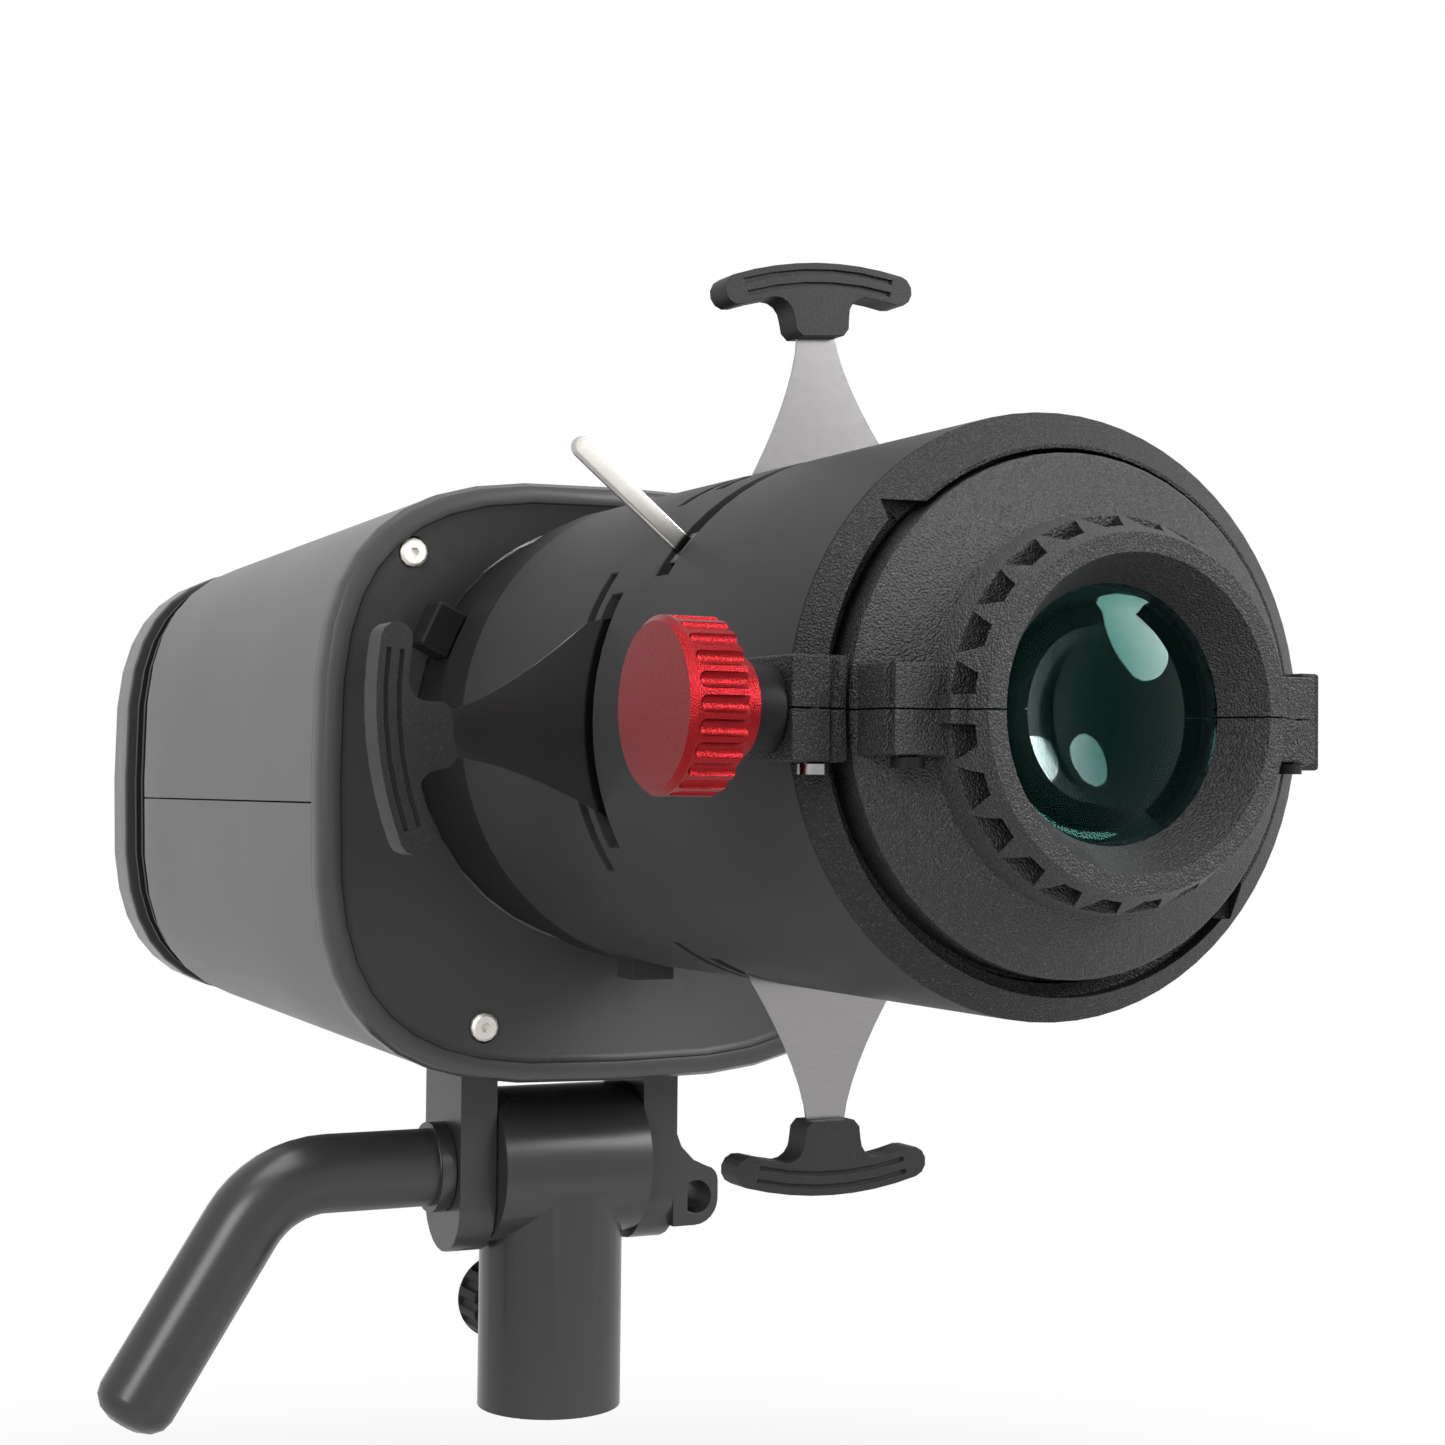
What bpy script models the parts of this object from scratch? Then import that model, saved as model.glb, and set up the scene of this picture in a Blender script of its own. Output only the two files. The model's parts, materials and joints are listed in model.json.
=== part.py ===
import math

import bmesh
import bpy
from mathutils import Matrix, Vector

# Sizes are millimetres. Shapes are drawn in the beam frame: the beam leaves along -Y,
# y = 0 is the barrel's front corner and x = z = 0 is the beam axis. Finishing a piece
# moves it to the stand frame, whose origin is the mouth of the stand socket.

FIT = 0.3                  # gap between pieces that touch
THIN = 0.15                # half of the gap at a split plane
EDGE = 0.6                 # broken edge of a moulded piece

# Spotlight barrel and front rim
BARREL_R = 53.0
BARREL_WALL = 4.0
BARREL_LEN = 150.0
BORE_R = BARREL_R - BARREL_WALL
RIM_DROP = 6.2             # radial width of the conical rim band
RIM_RISE = 5.2             # how far the rim stands in front of the barrel
RIM_LIP = 0.7
RIM_SPIGOT = 12.0
RIM_IN = BARREL_R - RIM_DROP - RIM_LIP
NOTCH_TURN = 136.0         # degrees from +X towards +Z
NOTCH_DEPTH = 4.2
NOTCH_HALF = 8.0
GROOVE_CUT = 1.6           # how much wider the groove round the disc is on one half of the rim
GROOVE_FLOOR = 0.8         # the groove and notches stop this far in front of the barrel
PAD_W = 10.0               # stop pad under the barrel's rear end
PAD_L = 9.0
PAD_H = 2.4
PAD_SIDE = -11.0
PAD_SET = 2.0              # from the pad to the barrel's rear end

# Side slots, one pair at each of the four shutters
GATE_Y = 82.0
GATE_SLOT = 5.4
SLOT_HALF_TURN = 28.0
SPARE_STEP = 7.5           # from the shutter slot back to the spare slot
SPARE_SLOT = 3.6
SPARE_HALF_TURN = 34.0

# Shutters: a thin blade and a moulded grip, one per side, each in a plane of its own
BLADE_T = 0.6
BLADE_GAP = 0.3
BLADE_HALF = 19.0          # half width in the barrel's slot
BLADE_TIP_HALF = 4.2       # half width where it enters the grip
BLADE_EDGE_R = BORE_R * 0.48
PLATE_HALF = BORE_R * 0.543           # the blade is wider inside, so neighbours lap
PLATE_END_R = BORE_R * 0.612
PLATE_NECK_R = BORE_R * 0.775
FLARE_SET = 3.5            # the flare starts this far inside the barrel's skin
FLARE_POWER = 1.5
GRIP_FOOT_R = BARREL_R + 27.4
GRIP_TALL = 11.8           # from the grip's foot to the middle of its bar
GRIP_BAR_T = 6.2
GRIP_HALF = 21.8
GRIP_SAG = 3.4
GRIP_DEPTH = 7.0
GRIP_NECK_HALF = 6.4
GRIP_FILLET = 4.0
GRIP_SLEEVE = 6.0          # how far the blade reaches into the grip
GRIP_LINE = 0.9            # width of the grip's long grooves
GRIP_LINE_STEP = 1.3
GRIP_LINE_DEEP = 0.7
GATE_HOLE_R = BORE_R * 0.5
GATE_PLATE_T = 1.0
POST_CIRCLE_R = BORE_R - 4.4
POST_R = 1.5
POST_HEAD = 1.1
# From front to rear: side, turn about the beam, swing in its own plane, how far it is pulled out
SHUTTERS = (
    ("bottom", 270, 0.0, -1.0), ("left", 180, 6.5, 1.5), ("right", 0, 0.0, 0.0), ("top", 90, 5.2, -1.0),
)

# Iris
IRIS_LEAVES = 5
LEAF_T = 0.2
LEAF_PITCH = 0.5
LEAF_ROOM = 0.7            # from the drive ring to the first leaf
LEAF_PIVOT_R = BORE_R - 6.0
LEAF_OUT_R = LEAF_PIVOT_R - 2.5
LEAF_WIDE = 13.0
LEAF_IN_R = LEAF_OUT_R - LEAF_WIDE
LEAF_SPAN = 108.0
LEAF_START = 20.0          # degrees from +X to the first pivot
PIN_R = 1.0
PIN_EYE = 1.8
DRIVE_Y = 63.4
DRIVE_T = 2.8
IRIS_BASE_T = 2.0
LEVER_TURN = 141.0
LEVER_TIP_R = BARREL_R + 29.0
LEVER_ROOT = 8.0           # how far the lever reaches inside the barrel's bore
LEVER_W = 4.0
LEVER_T = 2.0
LEVER_TRAVEL = 40.0
LEVER_SPARE_TURN = 8.0
LEVER_TAB_W = 8.0
LEVER_TAB_H = 3.0

# Lens tube in two halves, with its truss ring and ears
RING_Y = -24.7
RING_R = 30.0
RING_HOLE_R = 26.7
RING_BAND = 2.6            # plain band behind the ring's face
TRUSS_R = 33.4
TRUSS_LEN = 6.5            # from the ring's face to the shoulder
TRUSS_CELLS = 24
TRUSS_DEPTH = 0.9
TRUSS_RIB = 0.75
SHOULDER_R = 34.0
SHOULDER_LEN = 5.2
DISC_Y = -7.0
DISC_R = RIM_IN - 0.9
DISC_BACK = 1.0
TUBE_R = RIM_IN - FIT
TUBE_END = 40.0
TUBE_WALL = 4.9
EAR_IN = TRUSS_R - 1.6     # the ears are rooted inside the shoulder
EAR_OUT = DISC_R - 1.2
EAR_HALF = 7.5
EAR_FACE_Y = -17.0
EAR_STEP = 1.3
EAR_SCREW_SET = 2.8
BRIDGE_HALF = 2.3
BRIDGE_SET = 3.4           # from the ring's face to the bridge's face
LENS_R = 22.8
LENS_EDGE_Y = -15.9
LENS_EDGE_T = 4.0
LENS_SAG = 4.0
LENS_BACK_SAG = 3.0
LENS_LIP = 1.3             # seat that holds a lens by its edge
BACK_LENS_Y = 28.0
BACK_LENS_T = 4.0
BACK_LENS_SAG = 6.0
CELL_WALL = 4.0            # wall behind the front lens seat

# Lock knob on the rim lug
KNOB_AXIS_Y = -0.8
KNOB_R = 14.5
KNOB_FACE_X = -BARREL_R - 24.8
KNOB_LEN = 10.2
KNOB_EDGE = 1.4
KNOB_FLUTES = 24
FLUTE_R = 1.35
FLUTE_DEPTH = 0.9
COLLAR_R = 9.4
COLLAR_LEN = 4.8
STEM_R = 7.3
STUD_R = 3.0
STUD_BITE = 2.8            # how far the knob's stud goes into the lug
LUG_IN = BARREL_R - RIM_DROP - 0.2
LUG_OUT = BARREL_R + 4.0
LUG_HALF = 8.7
LUG_FRONT_Y = -8.8
LUG_BACK_Y = 8.6
LUG_SCREW_SET = 5.6
LUG_SCREW_Y = -5.8
RIDGE_SET = 2.6
RIDGE_R = 0.9
FAR_LUG_OUT = BARREL_R - 2.0
SCREW_CAP = 1.3            # how far a small screw's head stands round its shank
SCREW_CAP_T = 1.7
SCREW_LEFT = 2.6           # material above a blind screw hole

# Condenser and bayonet adapter
CONDENSER_T = 4.0
CONDENSER_SAG = 9.0
CELL_T = 3.0
CELL_RING = 1.2
ADAPTER_SPIGOT = 12.0
ADAPTER_NECK = 18.0        # from the barrel's rear end to the mount ring
ADAPTER_CONE = 3.0
ADAPTER_TAIL_R = BARREL_R - 9.5
ADAPTER_BORE = ADAPTER_TAIL_R - 3.5
MOUNT_FRONT_Y = BARREL_LEN + ADAPTER_NECK
MOUNT_DEEP = 18.0
MOUNT_BACK_Y = MOUNT_FRONT_Y + MOUNT_DEEP
LUG_Y = MOUNT_FRONT_Y + 4.0
LUG_T = 4.0
LUG_TAIL = 1.2
BAYONET_R = ADAPTER_TAIL_R + 4.0
BAYONET_HALF_TURN = 16.0
MOUNT_R = BAYONET_R + 3.0
CATCH_TURN = 155.0
CATCH_W = 11.0
CATCH_H = 7.0
CATCH_L = 9.0
CONDENSER_Y = BARREL_LEN - ADAPTER_SPIGOT - FIT - CONDENSER_T

# Lamp head
HEAD_Y = MOUNT_FRONT_Y + 12.6          # front edge of the bezel
HEAD_HALF_W = MOUNT_R + 24.5
HEAD_HALF_H = MOUNT_R + 20.7
HEAD_DROP = 11.7           # head centre below the beam axis
HEAD_Z = -HEAD_DROP
HEAD_SQUARE = 3.4          # superellipse power
HEAD_TAPER = 0.93          # section at the rear over the section at the front
BEZEL_BAND = 5.0
BEZEL_DEEP = 7.4
BEZEL_ROUND = 2.6
PANEL_LIP = 1.6
DISH_DEPTH = 5.4
SHELL_END = HEAD_Y + 181.4
SHELL_WALL = 3.0
PARTING_DROP = 17.0
VENT_LAP = 6.0
VENT_END = SHELL_END + 26.0
VENT_INSET = 5.0
VENT_FINS = 2
FIN_T = 2.0
FIN_SET = 1.2
CAP_LEN = 32.0
CAP_END = VENT_END + CAP_LEN
CAP_ROUND = 17.0
POCKET_DEEP = 12.0         # depth of the pockets for the dial, switch and inlet
DIAL_R = 14.0
DIAL_AT = (26.0, 18.0)     # from the head's centre
DIAL_OUT = 6.0
DIAL_EDGE = 1.4
SWITCH_AT = (-30.0, 18.0)
SWITCH_W = 16.0
SWITCH_H = 11.0
SWITCH_SLACK = 0.8         # room at each end of the rocker
SWITCH_FLOOR = 6.2
SWITCH_PIVOT = 8.0
SWITCH_OUT = 0.6
SWITCH_DIP = 1.6
INLET_AT = (0.0, -30.0)
INLET_W = 28.0
INLET_H = 20.0
INLET_WALL = 2.4
INLET_FLOOR = 4.0
PRONG_STEP = 7.0
PRONG_W = 2.0
PRONG_H = 4.8
PRONG_SET = 2.0
UPPER_SCREW = (0.707, 0.74)            # shares of the head's half width and half height
LOWER_SCREW = (0.453, 0.805)
SCREW_HEAD_R = 3.3
SCREW_HEAD_T = 1.9
SCREW_R = 2.0
SCREW_SINK = 0.8
SOCKET_HEX_R = 1.2
BULKHEAD_T = 4.0
LED_R = 30.0
LED_T = 3.0
DOME_R = 17.0
DOME_H = 2.2
SINK_END = HEAD_Y + 119.4
SINK_HALF = 42.0
SINK_BASE = 12.0
SINK_FINS = 11
FAN_R = 38.0
FAN_T = 16.0
FAN_BACK = 6.0
FAN_GAP = 1.2
FAN_HUB = 12.0
FAN_BLADES = 7
FAN_PITCH = 32.0
FAN_BLADE_W = 12.0
FAN_BLADE_T = 1.8
FAN_PIN_R = 3.0
FAN_PIN_DEEP = 8.0
FAN_ARM = 4.0
FAN_ARM_T = 3.0

# Tilt yoke and stand socket
AXLE_Y = HEAD_Y + 40.9
DRUM_R = 19.0
AXLE_GAP = 5.1             # from the head's underside to the drum
AXLE_DROP = HEAD_DROP + HEAD_HALF_H + AXLE_GAP + DRUM_R
CHEEK_IN = 19.8
CHEEK_T = 9.5
CHEEK_DEEP = 25.0
CHEEK_FOOT = 21.0          # from the tilt axis to the cheek's lower end
CHEEK_ROOT = 23.0          # how far the cheeks start inside the head's outline
SOCKET_R = 18.0
SOCKET_BORE = 8.2
SOCKET_DEEP = 38.0
SOCKET_LEN = 61.0          # from the tilt axis to the socket's mouth
STAND_DROP = AXLE_DROP + SOCKET_LEN
STUD_BOLT_R = 4.0
STUD_SET = 2.4             # the tilt stud ends this far inside the right cheek
STUD_REACH = 16.0          # how far the stud goes into the handle
HANDLE_R = 9.6
HANDLE_COLLAR = 1.5
HANDLE_COLLAR_L = 3.6
HANDLE_RUN = 30.0
HANDLE_BEND = 24.0
HANDLE_BEND_TURN = 58.0
HANDLE_TAIL = 46.0
HANDLE_DOME = 5.8
BOSS_OUT = 41.0
BOSS_HALF = 13.0
BOSS_DROP = 4.0
BOSS_ROUND = 6.5
BOSS_HOLE_R = 4.2
LOCK_RISE = 20.0           # lock screw above the socket's mouth
LOCK_Z = -STAND_DROP + LOCK_RISE
LOCK_R = 11.0
LOCK_T = 13.0
LOCK_GAP = 6.0
LOCK_SCREW_R = 4.0
LOCK_EDGE = 1.0

COLOURS = {
    "barrel_black": ((0.035, 0.035, 0.037), 0.5, 0.0),
    "rim_black": ((0.02, 0.02, 0.021), 0.6, 0.0),
    "shell_grey": ((0.11, 0.115, 0.12), 0.5, 0.0),
    "bezel_grey": ((0.04, 0.042, 0.045), 0.5, 0.0),
    "panel_grey": ((0.07, 0.073, 0.077), 0.45, 0.0),
    "bracket_grey": ((0.06, 0.062, 0.066), 0.45, 0.3),
    "red_anodised": ((0.55, 0.02, 0.025), 0.32, 1.0),
    "steel": ((0.62, 0.6, 0.57), 0.3, 1.0),
    "blade_steel": ((0.5, 0.49, 0.48), 0.35, 1.0),
    "rubber": ((0.02, 0.02, 0.021), 0.65, 0.0),
    "glass": ((0.75, 0.85, 0.83), 0.02, 0.0),
    "aluminium": ((0.6, 0.6, 0.61), 0.4, 1.0),
    "dark_plastic": ((0.015, 0.015, 0.016), 0.5, 0.0),
    "led_yellow": ((0.85, 0.68, 0.2), 0.4, 0.0),
}

SHIFT = Vector((0.0, -AXLE_Y, STAND_DROP))


def clear_scene():
    for thing in list(bpy.data.objects):
        bpy.data.objects.remove(thing, do_unlink=True)


def material_for(key):
    found = bpy.data.materials.get(key)
    if found:
        return found
    colour, rough, metal = COLOURS[key]
    made = bpy.data.materials.new(key)
    made.use_nodes = True
    shader = made.node_tree.nodes["Principled BSDF"]
    shader.inputs["Base Color"].default_value = (*colour, 1.0)
    shader.inputs["Roughness"].default_value = rough
    shader.inputs["Metallic"].default_value = metal
    made.diffuse_color = (*colour, 1.0)
    return made


def to_object(shape, name):
    mesh = bpy.data.meshes.new(name)
    shape.to_mesh(mesh)
    shape.free()
    made = bpy.data.objects.new(name, mesh)
    bpy.context.scene.collection.objects.link(made)
    return made


def combine(target, shape, kind):
    tool = to_object(shape, "tool")
    step = target.modifiers.new("step", "BOOLEAN")
    step.operation = kind
    step.solver = "EXACT"
    step.object = tool
    graph = bpy.context.evaluated_depsgraph_get()
    result = bpy.data.meshes.new_from_object(target.evaluated_get(graph))
    target.modifiers.clear()
    spent = [target.data, tool.data]
    target.data = result
    bpy.data.objects.remove(tool, do_unlink=True)
    for mesh in spent:
        bpy.data.meshes.remove(mesh)


def cut(target, *shapes):
    for shape in shapes:
        combine(target, shape, "DIFFERENCE")


def join(target, *shapes):
    for shape in shapes:
        combine(target, shape, "UNION")


def finish(target, name, colour, pivot=(0.0, 0.0, 0.0)):
    target.name = name
    mesh = target.data
    mesh.name = name
    place = (Vector(pivot) + SHIFT) * 0.001
    mesh.transform(Matrix.Scale(0.001, 4) @ Matrix.Translation(SHIFT))
    mesh.transform(Matrix.Translation(-place))
    target.location = place
    mesh.materials.clear()
    mesh.materials.append(material_for(colour))
    return target


def copy_of(target):
    made = bpy.data.objects.new("copy", target.data.copy())
    bpy.context.scene.collection.objects.link(made)
    return made


def face_out(shape):
    bmesh.ops.recalc_face_normals(shape, faces=shape.faces)
    if shape.calc_volume(signed=True) < 0:
        bmesh.ops.reverse_faces(shape, faces=shape.faces)


def spot(u, v, t, axis):
    return {"X": (t, u, v), "Y": (u, t, v), "Z": (u, v, t)}[axis]


def turned(profile, steps=48, axis="Y", centre=(0.0, 0.0)):
    # Revolves a closed outline of (radius, along) points about an axis.
    shape = bmesh.new()
    corners = [shape.verts.new((r, 0.0, along)) for r, along in profile]
    pairs = list(zip(corners, corners[1:] + corners[:1]))
    edges = [shape.edges.new(pair) for pair in pairs]
    turn = {"cent": (0, 0, 0), "axis": (0, 0, 1), "angle": math.tau, "steps": steps, "use_merge": True}
    bmesh.ops.spin(shape, geom=corners + edges, **turn)
    bmesh.ops.remove_doubles(shape, verts=shape.verts, dist=0.0005)
    flat = [edge for edge in shape.edges if not edge.link_faces]
    bmesh.ops.delete(shape, geom=flat, context="EDGES")
    for vert in shape.verts:
        u, v, t = vert.co
        vert.co = Vector(spot(u + centre[0], v + centre[1], t, axis))
    face_out(shape)
    return shape


def rod(radius, low, high, axis, centre, steps=24):
    return turned([(0, low), (radius, low), (radius, high), (0, high)], steps, axis, centre)


def prism(outline, low, high, axis):
    shape = bmesh.new()
    face = shape.faces.new([shape.verts.new(spot(u, v, low, axis)) for u, v in outline])
    grown = bmesh.ops.extrude_face_region(shape, geom=[face])["geom"]
    tops = [item for item in grown if isinstance(item, bmesh.types.BMVert)]
    bmesh.ops.translate(shape, verts=tops, vec=Vector(spot(0, 0, high - low, axis)))
    face_out(shape)
    return shape


def block(low, high, bevel=0.0, steps=2):
    (x0, y0, z0), (x1, y1, z1) = low, high
    shape = prism([(x0, y0), (x1, y0), (x1, y1), (x0, y1)], z0, z1, "Z")
    if bevel:
        round_edges(shape, bevel, steps)
    return shape


def round_edges(shape, size, steps=2, least=50.0):
    sharp = [edge for edge in shape.edges if edge.calc_face_angle(0.0) > math.radians(least)]
    bmesh.ops.bevel(shape, geom=sharp, offset=size, segments=steps, profile=0.5, affect="EDGES")
    face_out(shape)


def merged(*shapes):
    # Puts several separate shapes into one cutter or one group of solids.
    whole = bmesh.new()
    for shape in shapes:
        mesh = bpy.data.meshes.new("scrap")
        shape.to_mesh(mesh)
        shape.free()
        whole.from_mesh(mesh)
        bpy.data.meshes.remove(mesh)
    return whole


def arc(radius, start, end, steps, centre=(0.0, 0.0)):
    turns = [math.radians(start + (end - start) * i / steps) for i in range(steps + 1)]
    return [(centre[0] + radius * math.cos(t), centre[1] + radius * math.sin(t)) for t in turns]


def sector(inner, outer, start, end, steps=7):
    return arc(outer, start, end, steps) + arc(inner, end, start, steps)


def moved(shape, matrix):
    bmesh.ops.transform(shape, matrix=matrix, verts=shape.verts)
    return shape


def about_beam(degrees):
    # Turns x towards z by this angle about the beam axis.
    return Matrix.Rotation(-math.radians(degrees), 4, "Y")


def loft(loops, closed=False):
    # Skins a row of point loops: closed joins the last loop to the first, else ends are capped.
    shape = bmesh.new()
    rows = [[shape.verts.new(point) for point in loop] for loop in loops]
    ring = rows + rows[:1] if closed else rows
    for low, high in zip(ring, ring[1:]):
        for i, corner in enumerate(low):
            j = (i + 1) % len(low)
            shape.faces.new((corner, low[j], high[j], high[i]))
    if not closed:
        shape.faces.new(rows[0])
        shape.faces.new(rows[-1])
    face_out(shape)
    return shape


def squircle(half_w, half_h, y, count=40):
    points = []
    for i in range(count):
        turn = math.tau * i / count
        c, s = math.cos(turn), math.sin(turn)
        x = half_w * math.copysign(abs(c) ** (2 / HEAD_SQUARE), c)
        z = half_h * math.copysign(abs(s) ** (2 / HEAD_SQUARE), s)
        points.append((x, y, HEAD_Z + z))
    return points


def ring_loop(like, radius, y):
    # A circle about the beam axis whose points face those of another loop.
    turns = [math.atan2(z, x) for x, _, z in like]
    return [(radius * math.cos(t), y, radius * math.sin(t)) for t in turns]


def taper(y):
    return 1 - (1 - HEAD_TAPER) * (y - HEAD_Y) / (CAP_END - HEAD_Y)


def head_loop(y, inset=0.0):
    share = taper(y)
    return squircle(HEAD_HALF_W * share - inset, HEAD_HALF_H * share - inset, y)


def cap_sag(rim, sag, edge_r, steps=5):
    # Points of a shallow dome, from its rim to the axis: (radius, height above the rim).
    ball = (rim * rim + sag * sag) / (2 * sag)
    spread = math.asin(rim / ball)
    points = []
    for i in range(steps + 1):
        t = spread * (1 - i / steps)
        points.append((ball * math.sin(t), ball * math.cos(t) - (ball - sag)))
    return [(edge_r, 0.0)] + points


def lens(edge_r, edge_y, edge_t, front_sag, back_sag):
    rim = edge_r - LENS_LIP
    front = [(r, edge_y - h) for r, h in cap_sag(rim, front_sag, edge_r)]
    back = [(edge_r, edge_y + edge_t), (0.0, edge_y + edge_t)]
    if back_sag:
        back = [(r, edge_y + edge_t + h) for r, h in cap_sag(rim, back_sag, edge_r)]
    return turned(list(reversed(front)) + back, 28)


def flat_ring(inner, outer, low, high, steps=36):
    return turned([(inner, low), (outer, low), (outer, high), (inner, high)], steps)


def posts(radius, low, high, turns, circle_r):
    made = []
    for turn in turns:
        t = math.radians(turn)
        made.append(rod(radius, low, high, "Y", (circle_r * math.cos(t), circle_r * math.sin(t)), 10))
    return made


def build_barrel():
    outline = [(BORE_R, FIT), (BARREL_R, FIT), (BARREL_R, BARREL_LEN), (BORE_R, BARREL_LEN)]
    barrel = to_object(turned(outline, 72), "barrel")
    pad_y = BARREL_LEN - PAD_SET - PAD_L
    low = (PAD_SIDE - PAD_W / 2, pad_y, -BARREL_R - PAD_H)
    join(barrel, block(low, (PAD_SIDE + PAD_W / 2, pad_y + PAD_L, -BARREL_R + BARREL_WALL / 2 + 1)))
    reach = (BORE_R - BARREL_WALL, BARREL_R + BARREL_WALL)
    spare_y = GATE_Y + SPARE_STEP
    for _, turn, _, _ in SHUTTERS:
        span = sector(*reach, turn - SLOT_HALF_TURN, turn + SLOT_HALF_TURN)
        cut(barrel, prism(span, GATE_Y - GATE_SLOT / 2, GATE_Y + GATE_SLOT / 2, "Y"))
        span = sector(*reach, turn - SPARE_HALF_TURN, turn + SPARE_HALF_TURN)
        cut(barrel, prism(span, spare_y - SPARE_SLOT / 2, spare_y + SPARE_SLOT / 2, "Y"))
    first = LEVER_TURN - LEVER_TRAVEL - LEVER_SPARE_TURN
    span = sector(*reach, first, LEVER_TURN + LEVER_SPARE_TURN)
    middle = DRIVE_Y + DRIVE_T / 2
    wide = LEVER_T + 3 * FIT
    cut(barrel, prism(span, middle - wide, middle + wide, "Y"))
    finish(barrel, "barrel", "barrel_black")


def build_rim():
    lip_r = BARREL_R - RIM_DROP
    outline = [
        (BARREL_R, 0.0), (lip_r, -RIM_RISE), (RIM_IN, -RIM_RISE), (RIM_IN, RIM_SPIGOT),
        (BORE_R - FIT, RIM_SPIGOT), (BORE_R - FIT, 0.0),
    ]
    rim = to_object(turned(outline, 72), "rim")
    # The groove round the disc is wider on the half between the two notches.
    inner = RIM_IN - NOTCH_DEPTH
    span = sector(inner, lip_r + GROOVE_CUT, NOTCH_TURN, NOTCH_TURN + 180, 36)
    cut(rim, prism(span, -2 * RIM_RISE, -GROOVE_FLOOR, "Y"))
    vee = [(inner, -NOTCH_HALF), (lip_r + NOTCH_DEPTH, 0.0), (inner, NOTCH_HALF)]
    for turn in (NOTCH_TURN, NOTCH_TURN - 180):
        cut(rim, moved(prism(vee, -2 * RIM_RISE, -GROOVE_FLOOR - 0.4, "Y"), about_beam(turn)))
    # A short fixed lug faces the knob's lug from the far side.
    join(rim, block((LUG_IN, LUG_FRONT_Y, -LUG_HALF), (FAR_LUG_OUT, -GROOVE_FLOOR / 2, LUG_HALF), EDGE))
    finish(rim, "front_rim", "rim_black")


def build_adapter():
    end = LUG_Y + LUG_T + LUG_TAIL
    cone = MOUNT_FRONT_Y - FIT - ADAPTER_CONE
    outline = [
        (ADAPTER_BORE, BARREL_LEN - ADAPTER_SPIGOT), (BORE_R - FIT, BARREL_LEN - ADAPTER_SPIGOT),
        (BORE_R - FIT, BARREL_LEN + FIT), (BARREL_R, BARREL_LEN + FIT), (BARREL_R, cone),
        (ADAPTER_TAIL_R, cone + ADAPTER_CONE), (ADAPTER_TAIL_R, end), (ADAPTER_BORE, end),
    ]
    adapter = to_object(turned(outline, 36), "adapter")
    root = (ADAPTER_BORE + ADAPTER_TAIL_R) / 2
    for turn in (90, 210, 330):
        span = sector(root, BAYONET_R, turn - BAYONET_HALF_TURN, turn + BAYONET_HALF_TURN)
        join(adapter, prism(span, LUG_Y, LUG_Y + LUG_T, "Y"))
    finish(adapter, "bayonet_adapter", "dark_plastic")

    hole = ADAPTER_TAIL_R + FIT
    room = BAYONET_R + FIT
    outline = [
        (MOUNT_R, MOUNT_FRONT_Y), (MOUNT_R, MOUNT_BACK_Y), (hole, MOUNT_BACK_Y),
        (hole, LUG_Y + LUG_T + FIT), (room, LUG_Y + LUG_T + FIT), (room, LUG_Y - FIT),
        (hole, LUG_Y - FIT), (hole, MOUNT_FRONT_Y),
    ]
    ring = to_object(turned(outline, 36), "mount")
    half = BAYONET_HALF_TURN + 1
    for turn in (30, 150, 270):
        span = sector(root, room, turn - half, turn + half)
        cut(ring, prism(span, MOUNT_FRONT_Y - 1, LUG_Y, "Y"))
    finish(ring, "mount_ring", "aluminium")

    foot = MOUNT_R + FIT
    catch = block((foot - 1, LUG_Y, -CATCH_W / 2), (foot + CATCH_H, LUG_Y + CATCH_L, CATCH_W / 2), EDGE)
    made = to_object(moved(catch, about_beam(CATCH_TURN)), "catch")
    cut(made, flat_ring(ADAPTER_BORE, foot, LUG_Y - 1, LUG_Y + CATCH_L + 1, 54))
    pivot = about_beam(CATCH_TURN) @ Vector((foot + CATCH_H / 2, LUG_Y + CATCH_L / 2, 0))
    finish(made, "release_catch", "dark_plastic", pivot)


def build_gate():
    # Four blades run between a front and a rear plate, each in its own plane.
    count = len(SHUTTERS)
    stack = count * BLADE_T + (count + 1) * BLADE_GAP
    front = GATE_Y - stack / 2
    back = GATE_Y + stack / 2
    turns = (45, 135, 225, 315)
    tail = back + GATE_PLATE_T + FIT
    low = front - GATE_PLATE_T
    plate = to_object(flat_ring(GATE_HOLE_R, BORE_R - FIT, low, front), "plate")
    # Riveted posts on the front plate carry the rear plate.
    join(plate, *posts(POST_R, low + GATE_PLATE_T / 2, tail + 0.5, turns, POST_CIRCLE_R))
    join(plate, *posts(POST_R + POST_HEAD, tail, tail + POST_R, turns, POST_CIRCLE_R))
    finish(plate, "gate_plate_front", "blade_steel")
    plate = to_object(flat_ring(GATE_HOLE_R, BORE_R - FIT, back, back + GATE_PLATE_T), "plate")
    cut(plate, *posts(POST_R + FIT, back - 1, back + GATE_PLATE_T + 1, turns, POST_CIRCLE_R))
    finish(plate, "gate_plate_rear", "blade_steel")
    for place, (side, turn, swing, pull) in enumerate(SHUTTERS):
        low = front + BLADE_GAP + place * (BLADE_T + BLADE_GAP)
        build_shutter(side, turn, swing, pull, low)


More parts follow.
